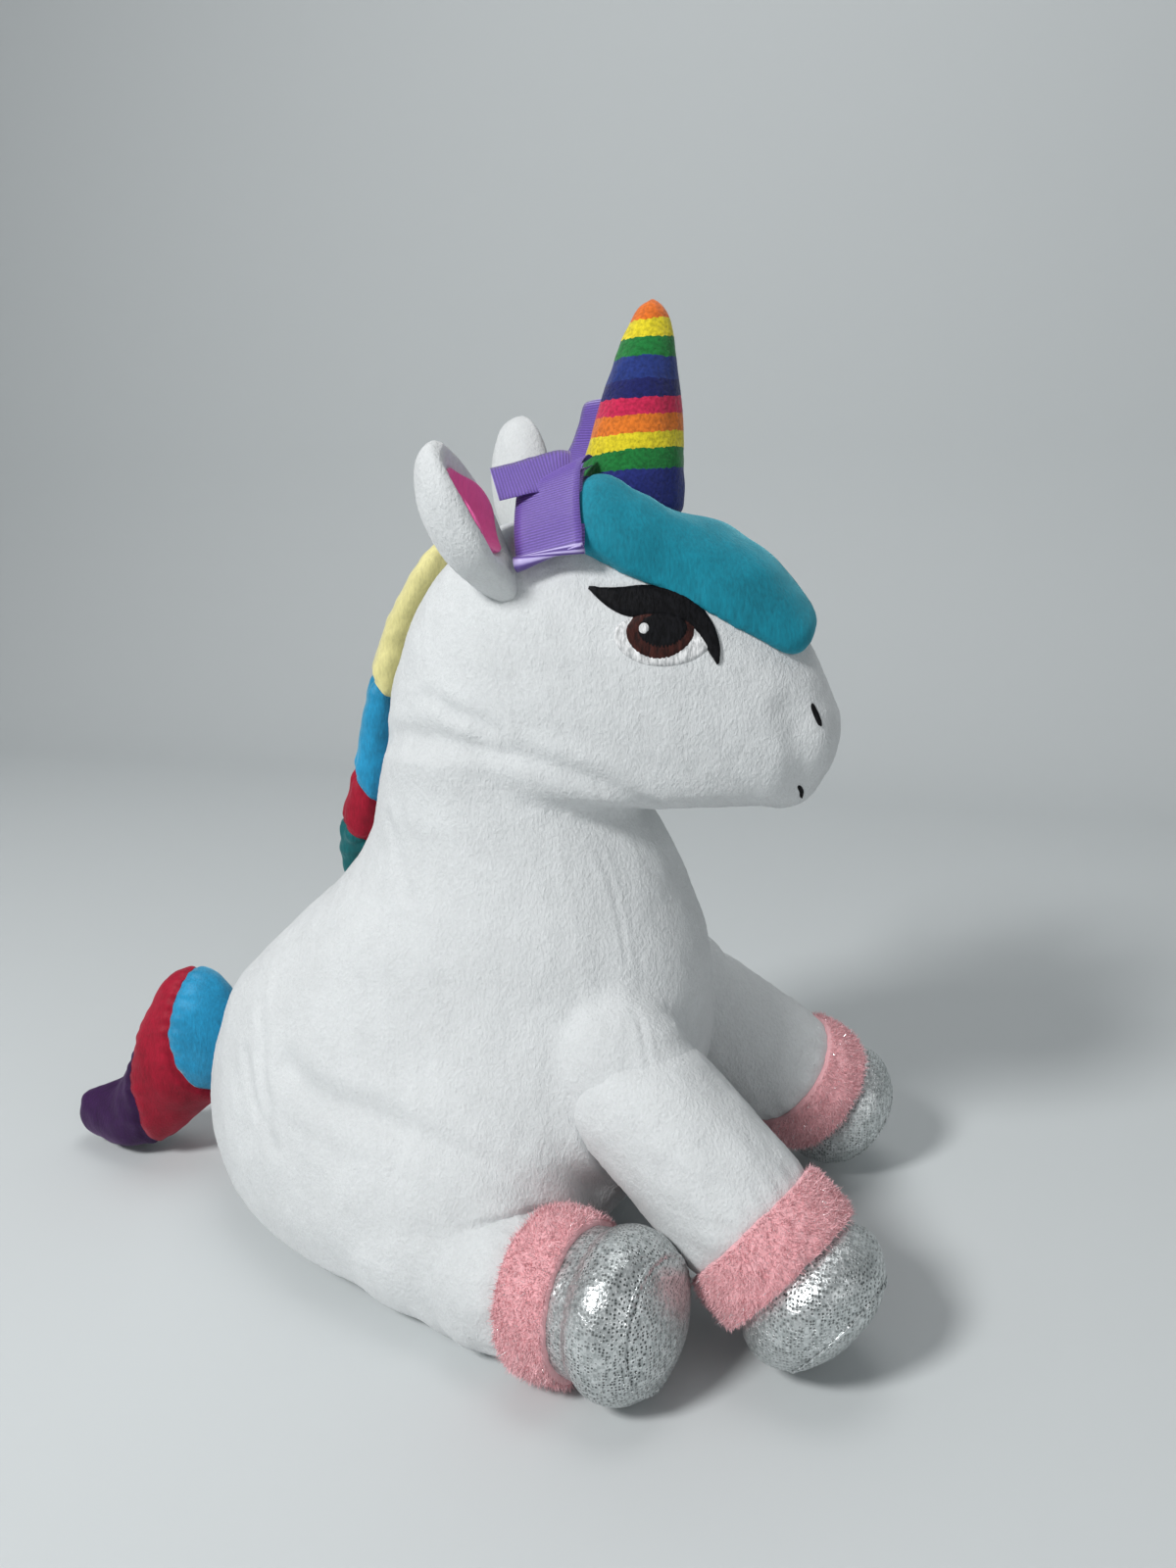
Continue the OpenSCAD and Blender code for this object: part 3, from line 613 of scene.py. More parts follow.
# Share of the height, then rear, front, half width and taper
BODY_ROWS = [
    [0, -0.3, 0.27, 0.56, -0.3], [0.05, -0.366, 0.337, 0.82, -0.3], [0.13, -0.406, 0.406, 0.92, -0.3],
    [0.23, -0.426, 0.465, 0.96, -0.3], [0.35, -0.421, 0.51, 0.93, -0.27],
    [0.47, -0.396, 0.535, 0.84, -0.18], [0.59, -0.356, 0.545, 0.75, -0.08], [0.7, -0.277, 0.545, 0.67, 0],
    [0.8, -0.203, 0.53, 0.61, 0], [0.89, -0.129, 0.505, 0.55, 0], [1, -0.075, 0.468, 0.51, 0],
    [1.1, -0.055, 0.415, 0.5, 0.04], [1.22, -0.03, 0.36, 0.5, 0.08]]
HEAD_TOP, HEAD_LENGTH, HEAD_MIDDLE, HEAD_HALF = 260, 160, 71, 43
HEAD_ROWS = [
    [0, -0.3, 0.3, 0.45], [0.03, -0.43, 0.38, 0.7], [0.06, -0.475, 0.42, 0.82], [0.1, -0.49, 0.45, 0.89],
    [0.17, -0.49, 0.475, 0.94], [0.27, -0.485, 0.5, 0.98], [0.39, -0.475, 0.488, 1],
    [0.5, -0.455, 0.46, 1], [0.61, -0.43, 0.42, 0.97], [0.71, -0.395, 0.38, 0.93],
    [0.81, -0.35, 0.335, 0.86], [0.89, -0.29, 0.275, 0.76], [0.96, -0.21, 0.2, 0.58],
    [1, -0.12, 0.06, 0.32]]
# Shares of the head's height and the heights they stand at, with the jaw's underside flattened
JAW_LIFT = [[0, 0.03, 0.06, 0.1, 0.17, 1], [163.8, 165.2, 167, 169.8, 175.3, HEAD_TOP]]


def body_mesh():
    rings = []
    for share in np.linspace(0, 1.22, 46):
        rear, front, half, taper = hermite(BODY_ROWS, share)
        rings.append(section(share * BODY_HEIGHT, rear * BODY_LENGTH, front * BODY_LENGTH,
                             half * BODY_WIDTH / 2, taper))
    return loft(rings)


def head_mesh():
    rings = []
    for share in np.linspace(0, 1, 36):
        rear, front, half = hermite(HEAD_ROWS, share)
        z = np.interp(share, *JAW_LIFT)
        rings.append(section(z, HEAD_MIDDLE + rear * HEAD_LENGTH, HEAD_MIDDLE + front * HEAD_LENGTH,
                             HEAD_HALF * half, 0.16))
    return loft(rings)


# Where the legs end, and their sleeves' radius
HOOVES = {"foreleg_left": np.array([150, 69, 26.0]), "foreleg_right": np.array([153, -59, 26.0]),
          "hind_leg_left": np.array([96, 97, 26.0]), "hind_leg_right": np.array([100.5, -84, 26])}
JOINT_ENDS = {"fore": "_swing", "hind": "_splay"}
SLEEVE_RADIUS = {"fore": 23.0, "hind": 22.0}
SLEEVE_ROOTS = {"fore": [(-13, 6), (-8, 15), (0, 20.3), (8, 22.6), (18, 23.8)],
                "hind": [(-14, 6), (-9, 15), (-2, 20), (6, 22.2)]}

# Seams and creases of the right side; the left side has the same, mirrored
FACE_SEAM = [(47, -41, 234), (48, -43, 223), (48, -43, 214), (49, -43, 205), (50, -43, 196), (49, -42, 184)]
CHEST_SEAM = [
    (79, -36, 178), (80, -36, 168), (84, -39, 157), (90, -42, 146), (95, -46, 130), (98, -50, 116),
    (100, -54, 104), (101, -56, 92)]
MUZZLE_CREASE = [
    (139, -14, 170), (141, -17, 175), (142, -20, 181), (142, -22, 187), (140, -23, 193), (137, -24, 199)]
JAW_CREASE = [
    (-6, -20, 184), (6, -34, 187), (23, -41, 187), (40, -43, 185), (57, -43, 183), (70, -42, 179),
    (82, -39, 175), (94, -30, 168)]
HAUNCH_CREASE = [
    (-30, -68, 80), (-20, -71, 75.5), (-8, -73, 73), (8, -74, 72), (22, -74, 69), (36, -73, 65),
    (50, -72, 60), (63, -70, 52), (72, -68, 42), (77, -64, 30)]
RUMP_CREASES = [
    [(-48, -50, 96), (-42, -54, 83), (-37, -58, 69), (-31, -62, 58)], [(-50, -50, 74), (-40, -58, 60),
    (-27, -66, 50)]]
NECK_CREASES = [
    [(29, -43, 197), (37, -43, 195), (46, -43, 191)], [(18, -40, 201), (26, -42, 199), (32, -42, 193)],
    [(2, -34, 158), (8, -40, 146), (13, -44, 136)]]
# Width and depth of the jaw's, the haunch's and the muzzle's crease
FOLD_SIZES = [(3.0, 1.1), (4.2, 1.7), (4.5, 1.2)]
BACK_SEAM = [(-12, 0, 150), (-26, 0, 132), (-41, 0, 118), (-56, 0, 103), (-72, 0, 86)]
CHIN_SEAM = [(96, -22, 164), (110, -22, 163), (122, -20, 162), (132, -14, 164)]


def leg_line(name):
    """A leg's root, the way that it points, and how far off the hoof's centre is."""
    root = joint_place(name + JOINT_ENDS[name[:4]])
    run = HOOVES[name] - root
    length = np.linalg.norm(run)
    return root, run / length, length


PILE_HEIGHT = 0.045


def build_skin():
    chin, muzzle = ball((130.5, 0, 174.5), (15, 20, 11.5)), ball((133, 0, 189), (18.5, 23, 21))
    parts = [body_mesh(), head_mesh(), chin, muzzle]
    for side in (-1, 1):
        parts += [ball((34, side * 59, 25), (42, 28, 29)), ball((22, side * 50, 40), (44, 30, 32))]
    for name in HOOVES:
        root, way, _ = leg_line(name)
        swell = SLEEVE_RADIUS[name[:4]] + np.array([4, -1.3, 4])
        parts.append(ball(root - 2 * way, swell))
        if name[:4] == "fore":
            rear = np.cross(way, np.cross([-1, 0, 0], way))
            inward = np.array([0, -np.sign(root[1]) * 6, 0])
            parts.append(ball(root + 10 * way + 13 * rear / np.linalg.norm(rear) + inward, (17, 17, 17)))
    points, faces = join_meshes(parts)
    skin = make_piece("plush_skin", points, faces, white_plush)
    remesh(skin, voxel=2.2, smoothing=6)
    points = get_points(skin)
    for side in (-1, 1):    # the flank is drawn in between the legs
        gap = (points - [84, side * 66, 46]) / [15, 22, 15]
        points[:, 1] -= side * 11 * np.exp(-(gap ** 2).sum(1))
    set_points(skin, settle(points))
    tree = tree_of(skin)
    seams, creases, folds = [], [], []
    for flip in (False, True):
        turn = mirrored if flip else list
        seams += [turn(FACE_SEAM), turn(CHEST_SEAM), turn(CHIN_SEAM)]
        creases += [turn(path) for path in NECK_CREASES + RUMP_CREASES]
        folds += [turn(JAW_CREASE), turn(HAUNCH_CREASE), turn(MUZZLE_CREASE)]
    seams.append(BACK_SEAM)
    seams, creases, folds = ([onto(tree, smooth_path(path)) for path in paths]
                             for paths in (seams, creases, folds))
    points = get_points(skin)
    held = np.zeros(len(points))
    for path in seams + folds:
        held = np.maximum(held, bell(distance_to(points, path), 3.5))
    held = np.maximum(held, (points[:, 2] < 2) * 1.0)
    inflate(skin, cap=3.2, pinned=held)
    set_points(skin, settle(get_points(skin)))
    subdivide(skin)
    points, normals = points_normals(skin)
    for path in seams:
        points = press(points, normals, path, width=1.1, depth=0.6)
    for path in creases:
        points = press(points, normals, path, width=2.4, depth=0.65, lip=0.45)
    for path, (width, depth) in zip(folds, FOLD_SIZES * 2):
        points = press(points, normals, path, width, depth, lip=0.35)
    for name in HOOVES:     # a pressed seam round each leg, with fuller cloth beside it
        root, way, _ = leg_line(name)
        along = (points - root) @ way
        out = np.linalg.norm(points - root - np.outer(along, way), axis=1)
        gap = out - SLEEVE_RADIUS[name[:4]]
        near = 1 / (1 + np.exp(-(along - 6) / 2.5))
        swell = 2.4 * bell(gap, 6) - 1.6 * bell(gap - 0.4, 1.6)
        points += normals * (near * swell)[:, None]
    upright = np.clip(points[:, 2] / 12, 0, 1)
    ripple = 0.35 * waves(points, 36, 3) + 0.15 * waves(points * [1, 1, 0.6], 14, 5)
    pile = np.random.default_rng(8).normal(size=len(points)) * PILE_HEIGHT
    points += normals * ((ripple + pile) * upright)[:, None]
    set_points(skin, settle(points))
    return skin


skin = build_skin()
skin_tree = tree_of(skin)
neck = joint_place("head_nod")
neck_way = np.array([math.sin(math.radians(15)), 0, math.cos(math.radians(15))])
NECK = ("torso", "head", neck + [0, 0, 2] - 8 * neck_way, neck + [0, 0, 2] + 18 * neck_way)
dress(skin, "body_left", "body_right", "chest_gusset", "seat_panel", "body_stuffing", "pellet_pouch",
      "neck_stuffing", "face_left", "face_right", "nape_left", "nape_right", "crown_gusset",
      "chin_gusset", "head_stuffing", across=NECK, fill=0.85)


# ----- legs -----

def square_frame(way):
    """A direction of length one, and two square to it: sideways and upwards."""
    way = unit(way)
    side = unit(np.cross([0, 0, 1], way))
    return way, side, np.cross(way, side)


def turned(name, root, way, rows, step, material, count=72):
    """A closed skin round a line from a root. Rows are distance along it and radius, on a smooth curve."""
    way, side, up = square_frame(way)
    angle = circle(count)
    wheel = np.outer(np.cos(angle), side) + np.outer(np.sin(angle), up)
    outline = smooth_path([(along, radius, 0) for along, radius in rows], step)
    rings = [root + way * along + wheel * max(0.3, radius) for along, radius, _ in outline]
    return make_piece(name, *loft(rings), material)


def fibres(name, roots, ways, lengths, width, curl, material, seed):
    """Tapered fibres: each is a bent strip of three facets."""
    chance = np.random.default_rng(seed)
    count = len(roots)
    side = unit_rows(np.cross(ways, chance.normal(size=(count, 3))))
    bend = chance.normal(size=(count, 3)) * curl
    rows = []
    for share, wide in ((0, 1), (0.4, 0.85), (0.75, 0.55)):
        middle = roots + ways * lengths[:, None] * share + bend * lengths[:, None] * share ** 2
        rows += [middle - side * width * wide / 2, middle + side * width * wide / 2]
    rows.append(roots + ways * lengths[:, None] + bend * lengths[:, None])
    points = np.stack(rows, 1).reshape(-1, 3)
    start = np.arange(count)[:, None] * 7
    quads = np.concatenate([start + np.array([0, 1, 3, 2]), start + np.array([2, 3, 5, 4])])
    tips = start + np.array([4, 5, 6])
    mesh = bpy.data.meshes.new(name)
    mesh.from_pydata((points * MM).tolist(), [], quads.tolist() + tips.tolist())
    mesh.shade_smooth()
    mesh.materials.append(material)
    return add_object(name, mesh)


CUFF_WIDTH, HOOF_RADIUS, FIBRE_COUNT = 18, 25.4, 15000


def build_leg(name, gap, seed):
    """One leg: sleeve, cuff, foil hoof and its sole. Gap is from the cuff's end to the hoof's centre."""
    root, way, centre = leg_line(name)
    radius, seam = SLEEVE_RADIUS[name[:4]], centre - gap
    chance = np.random.default_rng(seed)
    start = seam - CUFF_WIDTH
    _, side, up = square_frame(way)

    rows = SLEEVE_ROOTS[name[:4]] + [(start * 0.65, radius + 0.8), (start - 3, radius + 0.3),
                                     (start + 3, radius - 1.2), (seam - 4, radius - 2), (seam - 3, 4)]
    sleeve = turned(name + "_plush", root, way, rows, 1.1, white_plush, count=120)
    points, normals = points_normals(sleeve)
    along = (points - root) @ way
    soft = np.clip((start + 2 - along) / 8, 0, 1)
    pile = chance.normal(size=len(points)) * PILE_HEIGHT
    lumps = 0.5 * waves(points, 30, seed) + 0.15 * waves(points, 11, seed + 1)
    points += normals * ((lumps + pile) * soft)[:, None]
    out = unit_rows(points - root - np.outer(along, way))
    # Fuller behind and under the root, and gathered into the cuff
    web = np.clip(out @ [-0.95, 0, -0.3], 0, 1) * bell(along - 3, 9)
    points += out * (3.5 * web)[:, None]
    gather = bell(along - start + 3, 3.5)
    wheel = np.arctan2((points - root) @ up, (points - root) @ side)
    points += normals * (gather * 0.35 * np.sin(wheel * 17 + 2 * np.sin(wheel * 3)))[:, None]
    set_points(sleeve, settle(points))
    dress(sleeve, name + "_sleeve", name + "_stuffing", fill=0.8,
          across=("torso", name, root + way * 8, root + way * 38))

    rows = [(start + 0.4, radius - 2), (start + 0.2, radius + 0.6), (start + 2.5, radius + 2.2),
            (start + 9, radius + 2.9), (seam - 2, radius + 2.3), (seam + 0.3, radius + 0.9),
            (seam, radius - 3)]
    band = turned(name + "_band", root, way, rows, 0.9, pink_backing)
    points, normals = points_normals(band)
    set_points(band, settle(points + normals * (0.45 * waves(points, 7, seed + 2))[:, None]))
    dress(band, name + "_cuff", body=name, slot="pink_fluff")

    tree, count = tree_of(band), FIBRE_COUNT
    along = chance.uniform(start - 0.3, seam + 0.6, count)
    turn = chance.uniform(0, 2 * math.pi, count)
    out = np.outer(np.cos(turn), side) + np.outer(np.sin(turn), up)
    roots = np.array([tree.find_nearest(Vector(root + way * a + o * (radius + 2.6)))[0]
                      for a, o in zip(along, out)])
    flare = ((along - start) / (CUFF_WIDTH / 2) - 1) ** 3
    lean = out + way * (0.35 * flare + chance.normal(size=count) * 0.28)[:, None]
    lean += np.array([0, 0, -0.25]) + chance.normal(size=(count, 3)) * 0.35
    lean = unit_rows(lean)
    length = chance.uniform(0.9, 2.1, count)
    low = roots[:, 2] + lean[:, 2] * length < 0.4    # these would reach the floor, so they lie down
    lean[low, 2] = np.abs(lean[low, 2]) * 0.2
    length[roots[:, 2] < 1.0] = 1.2
    hair = fibres(name + "_cuff_pile", roots - out * 0.2, lean, length, 0.24, 0.32, pink_fluff, seed + 3)
    set_points(hair, settle(get_points(hair), 0.1))
    dress(hair, body=name)

    dome, rim = 17.5, math.radians(38)
    edge, lip = centre + dome * math.sin(rim), HOOF_RADIUS * math.cos(rim)
    arcs = [(centre + dome * math.sin(a), HOOF_RADIUS * math.cos(a))
            for a in np.radians(np.arange(-28, 39, 6))]
    rows = [(seam - 2.5, radius - 4), (seam - 1.5, radius - 0.6), *arcs, (edge + 0.4, lip - 1.2),
            (edge, lip - 4)]
    wall = turned(name + "_shoe", root, way, rows, 0.8, silver_foil)
    rows = [(edge - 0.4, lip - 4), (edge + 0.5, lip - 1.2), (edge + 2.4, lip - 3.2), (edge + 4.8, 11),
            (edge + 5.8, 4), (edge + 5.9, 0.4)]
    disc = turned(name + "_disc", root, way, rows, 0.9, silver_foil)
    rows = [(edge + 0.2, lip - 2.4), (edge - 0.6, lip - 0.5), (edge - 0.1, lip + 0.45),
            (edge + 0.8, lip - 0.1), (edge + 1.0, lip - 1.4)]
    bead = turned(name + "_hoof_seam", root, way, rows, 0.35, silver_foil, count=180)
    for piece, lump in ((wall, 0.35), (disc, 0.3), (bead, 0.35)):
        points, normals = points_normals(piece)
        wheel = np.arctan2((points - root) @ up, (points - root) @ side)
        pucker = bell((points - root) @ way - edge, 2.6)
        relief = lump * waves(points, 22, seed + 5) + 0.16 * pucker * np.sin(wheel * 46)
        set_points(piece, settle(points + normals * relief[:, None]))
    dress(wall, name + "_hoof", body=name, fill=0.8)
    dress(disc, name + "_sole", body=name, fill=0.8)
    dress(bead, body=name)


for number, leg in enumerate(HOOVES):
    build_leg(leg, 9 if leg[:4] == "fore" else 14, 40 + 10 * number)


# ----- embroidery -----

def side_hit(x, z, side):
    """The face's surface point and direction at a place seen from the side."""
    place, normal, _, _ = skin_tree.ray_cast(Vector((x, side * 90, z)), Vector((0, -side, 0)))
    return np.array(place), np.array(normal)


def resample(outline, count):
    """Even points along a curve given by a few x, z points."""
    path = smooth_path([(x, 0, z) for x, z in outline], 0.4)
    gaps = run_of(path)
    at = np.linspace(0, gaps[-1], count)
    return np.stack([np.interp(at, gaps, path[:, 0]), np.interp(at, gaps, path[:, 2])], 1)


def stitch_patch(name, lower, upper, side, lift, material, columns, rows, satin):
    """Satin stitch between a lower and an upper curve: a low cushion of threads that lie side by side."""
    low, high = resample(lower, columns), resample(upper, columns)
    rings = []
    for i in range(columns):
        ring_top, ring_base = [], []
        for j in range(rows):
            share = j / (rows - 1)
            x, z = low[i] + (high[i] - low[i]) * share
            place, normal = side_hit(x, z, side)
            crown = math.sqrt(max(0, 1 - (2 * share - 1) ** 4))
            ends = min(1, math.sqrt(min(i, columns - 1 - i) / 3 + 0.02))
            rise = lift * (0.25 + 0.75 * crown * ends) + satin * (i % 2 - 0.5) * crown
            ring_top.append(place + normal * rise)
            ring_base.append(place - normal * 0.3)
        rings.append(np.array(ring_top + ring_base[::-1]))
    return make_piece(name, *loft(rings), material)


def arc(x, z, rx, rz):
    """Half an ellipse from left to right, below its centre when its height is negative."""
    return [(x - rx * math.cos(t), z + rz * math.sin(t)) for t in np.linspace(0, math.pi, 13)]


LID_LOW = [
    (75.5, 235.6), (79.5, 232), (84, 229), (89, 227.4), (95, 227.6), (101, 227), (106, 224.2),
    (109.6, 220.2), (112.2, 216.2), (114.2, 213.2)]
LID_HIGH = [
    (75.7, 236.4), (80, 236), (85.5, 236.2), (91.5, 236.8), (98, 236), (104, 233.6), (109, 229.6),
    (112.6, 224.6), (114.6, 218.6), (114.8, 213.4)]
NOSTRIL = [(143.7, -17.5, 201.2), (145.3, -17.6, 197.6), (146.5, -17.2, 193.8)]
MOUTH = [(139.6, -15, 173), (140.6, -13, 170.5), (140.8, -11.5, 167.6)]


def stitch_line(name, path, width, lift, material):
    """A short dense line of stitches on the skin."""
    path = smooth_path(onto(skin_tree, path), 0.35)
    rings = []
    for i, point in enumerate(path):
        place, normal, _, _ = skin_tree.find_nearest(Vector(point))
        across = np.cross(heading(path, i), normal)
        wide = width / 2 * math.sqrt(max(0.06, 1 - (2 * i / (len(path) - 1) - 1) ** 4))
        ring = [np.array(place) + across * wide * math.cos(t)
                + np.array(normal) * (lift * math.sin(t) * (1 + 0.12 * (i % 2)))
                for t in circle(14)]
        rings.append(np.array(ring))
    return make_piece(name, *loft(rings), material)


# Each part of an eye: its two edges, lift, thread, columns, rows, satin and the node that it stands for
EYE_PARTS = {
    "eye_white": (arc(98.6, 222.4, 14.6, -9.6), arc(98.6, 222.4, 14.6, 6.5), 0.75, white_thread, 56, 12, 0.1,
                  "eye_whites"),
    "eye_iris": (arc(97.3, 223.2, 9.7, -9.1), arc(97.3, 223.2, 9.7, 7.0), 1.05, brown_thread, 56, 12, 0.1,
                 "eye_irises"),
    "eye_pupil": (arc(98.0, 223.8, 6.9, -6.6), arc(98.0, 223.8, 6.9, 5.6), 1.25, black_thread, 40, 12, 0.1),
    "eye_lid": (LID_LOW, LID_HIGH, 1.4, black_thread, 90, 12, 0.1, "eye_lids"),
    "eye_glint": (arc(92.7, 224.0, 1.5, -2.1), arc(92.7, 224.0, 1.5, 2.1), 1.55, white_thread, 16, 8, 0.05)}

for side, label in ((-1, "right"), (1, "left")):
    for part, (low, high, lift, thread, columns, rows, satin, *node) in EYE_PARTS.items():
        patch = stitch_patch(part + "_" + label, low, high, side, lift, thread, columns, rows, satin)
        dress(patch, *node, body="head")
    turn = list if side < 0 else mirrored
    for part, path, width, node in (("nostril", NOSTRIL, 2.1, "nostril_stitches"),
                                    ("mouth", MOUTH, 1.5, "mouth_stitch")):
        stitch = stitch_line(part + "_" + label, turn(path), width, 0.5, black_thread)
        dress(stitch, node, body="head")


# ----- ears -----

# Lean, turn outwards in degrees, length and width
EARS = {"left": ((-0.24, 0.20, 0.95), 38, 49, 34), "right": ((-0.37, -0.34, 0.86), 12, 46, 29)}
EAR_DEPTH, EAR_BELLY, EAR_ROOT = 17, 0.42, 0.17


def ear_share(s, foot):
    """How full the ear is at a share of its length."""
    if s < 0:
        return foot * math.sqrt(max(0.004, 1 + s / EAR_ROOT))
    if s < EAR_BELLY:
        return foot + (1 - foot) * math.sin(math.pi / 2 * s / EAR_BELLY)
    return max(0.05, math.sqrt(max(0, 1 - ((s - EAR_BELLY) / (1.005 - EAR_BELLY)) ** 2)))


def ear_place(label, s, u, lining=None):
    """A place on the ear: u from -1 to 1 across it; on its back, or in its open front with a lift given."""
    lean, turn, length, width = EARS[label]
    up = unit(np.array(lean))
    side = unit(np.cross(up, [1, 0, 0]))
    turn = math.radians(turn)
    across = side * math.cos(turn) + np.cross(up, side) * math.sin(turn)
    deep, crown = EAR_DEPTH * ear_share(s, 0.62), math.sqrt(max(0, 1 - u * u))
    depth = deep * crown * 0.8
    if lining is not None:
        opened = float(np.clip((s - 0.10) / 0.25, 0, 1) * np.clip((0.93 - s) / 0.25, 0, 1))
        cup = max(0, 1 - (u / 0.82) ** 2) ** 1.4
        depth = deep * (0.66 * opened * cup - 0.36 * crown ** 0.8) - lining
    base = joint_place("ear_%s_fold" % label)
    return base + up * length * s + across * width / 2 * ear_share(s, 0.5) * u + np.cross(up, across) * depth


def ear_shell(label):
    rings = []
    turns = np.cos(np.radians(np.linspace(0, 180, 25)))
    for s in (*np.linspace(-EAR_ROOT, -0.1, 4), *np.linspace(-0.06, 0.84, 22), *np.linspace(0.87, 1, 7)):
        rings.append(np.array([ear_place(label, s, u) for u in turns]
                              + [ear_place(label, s, u, 0.0) for u in turns[-2:0:-1]]))
    ear = make_piece("ear_%s_shell" % label, *loft(rings), white_plush)
    subdivide(ear)
    points, normals = points_normals(ear)
    pile = np.random.default_rng(72).normal(size=len(points)) * 0.04
    set_points(ear, points + normals * (0.35 * waves(points, 15, 71) + pile)[:, None])
    return ear


def ear_lining(label):
    rings = []
    for s in np.linspace(0.18, 0.80, 30):
        half = 0.80 * math.sqrt(max(0.02, 1 - (2 * (s - 0.18) / 0.62 - 1) ** 2))
        spread = np.linspace(-half, half, 17)
        rings.append(np.array([ear_place(label, s, u, 1.2) for u in spread]
                              + [ear_place(label, s, u, -1.0) for u in spread[::-1]]))
    lining = make_piece("ear_%s_inside" % label, *loft(rings), hot_pink)
    subdivide(lining)
    return lining


for label in ("left", "right"):
    body = "ear_" + label
    base = joint_place(body + "_fold")
    up = unit(np.array(EARS[label][0]))
    crossing = ("head", body, base - up * 3, base + up * 12)
    dress(ear_shell(label), body + "_back", across=crossing, fill=0.5)
    dress(ear_lining(label), body + "_lining", across=crossing, fill=0.5)


# ----- horn -----

def build_horn():
    foot = joint_place("horn_lean")
    tip = np.array([86, 0, 324.0])
    length = np.linalg.norm(tip - foot)
    way = (tip - foot) / length
    rows = [(-9, 12), (-5, 16.8), (0, 17.4), (10, 16.2), (20, 14.4), (31, 12.3), (43, 9.4), (50, 7.2),
            (54.5, 5.2), (57.5, 3.0), (59, 0.4)]
    colours = [(0.02, 0.03, 0.20), (0.012, 0.20, 0.04), (0.80, 0.66, 0.02), (0.80, 0.20, 0.02),
               (0.62, 0.02, 0.085), (0.012, 0.016, 0.12), (0.018, 0.04, 0.21), (0.012, 0.20, 0.04),
               (0.80, 0.66, 0.02), (0.78, 0.17, 0.015)]
    ends = [6.1, 12.1, 17.5, 23.0, 28.2, 33.4, 40.3, 46.6, 52.0]
    stripes = horn_material("rainbow_plush", length, colours, ends)
    horn = turned("horn", foot, way, rows, 1.2, stripes, count=80)
    points, normals = points_normals(horn)
    points += normals * (0.45 * waves(points, 17, 12) + 0.15 * waves(points, 6, 13))[:, None]
    back = foot - np.array([17, 0, 0])
    seam = np.array([back + (tip - back) * t for t in np.linspace(0, 0.95, 60)])
    points = press(points, normals, seam, width=1.2, depth=0.7)
    store(horn, "rise", (points - foot) @ (way + [-0.17, 0, 0]))
    points[:, 0] -= 1.7 * np.clip(1 - (points - foot) @ way / 45, 0, 1)
    set_points(horn, points)
    crossing = ("head", "horn", foot - way * 4, foot + way * 8)
    dress(horn, "horn_cover", "horn_stuffing", across=crossing, fill=0.8)


build_horn()


# ----- forelock -----

HEAD_CORE = 190


def on_skin(x, angle):
    """The head's skin at x and its normal, where a line leans to the right by an angle from upright."""
    a = math.radians(angle)
    inside = Vector((x, 0, HEAD_CORE))
    place, normal, _, _ = skin_tree.ray_cast(inside, Vector((0, -math.sin(a), math.cos(a))))
    return np.array(place), np.array(normal)


# Distance along the head, the near and far edges' angles from upright, thickness, rise of the far edge
FORELOCK_ROWS = [
    [68, 28, 23, 3, 7], [70, 30, 20.5, 6.5, 10], [73, 31, 18, 8, 11], [79, 32.5, 16, 8, 10.5],
    [87, 34.3, 13, 6.5, 6], [96, 35.4, 4, 4, 1], [103, 36.2, -10, 3, 0], [110, 36.8, -16, 3.2, 0],
    [119, 37.2, -18, 4.3, 0], [127, 37, -17, 5.6, 0], [132, 35, -13, 6.5, 0], [135, 31.5, -7, 6.8, 0],
    [137, 26, 1, 5.2, 0], [138, 18, 8, 2.5, 0]]


def build_forelock():
    rings = []
    for x in np.linspace(68, 138, 60):
        near, far, thick, rise = hermite(FORELOCK_ROWS, x)
        share = np.linspace(0, 1, 24)
        crown = (1 - np.abs(2 * share - 1) ** 2.4) ** 0.5
        hits = [on_skin(x, near + (far - near) * t) for t in share]
        lifts = rise * share ** 1.6
        top = [p + n * (1.2 + thick * c) + [0, 0, r] for (p, n), c, r in zip(hits, crown, lifts)]
        base = [p - n * 1.5 for p, n in hits[1:-1]]
        rings.append(np.array(top + base[::-1]))
    flap = make_piece("forelock_pad", *loft(rings), teal_velvet)
    remesh(flap, voxel=1.5, smoothing=5)
    inflate(flap, cap=1.5, shrink=0.5, pressure=3)
    subdivide(flap)
    points, normals = points_normals(flap)
    set_points(flap, points + normals * (0.3 * waves(points, 24, 31))[:, None])
    crossing = ("head", "forelock_flap", (96, 0, 262), (112, 0, 258))
    dress(flap, "forelock", "forelock_root", across=crossing, fill=0.7)


build_forelock()


# ----- bow -----

RIB, THICKNESS = 0.95, 0.55


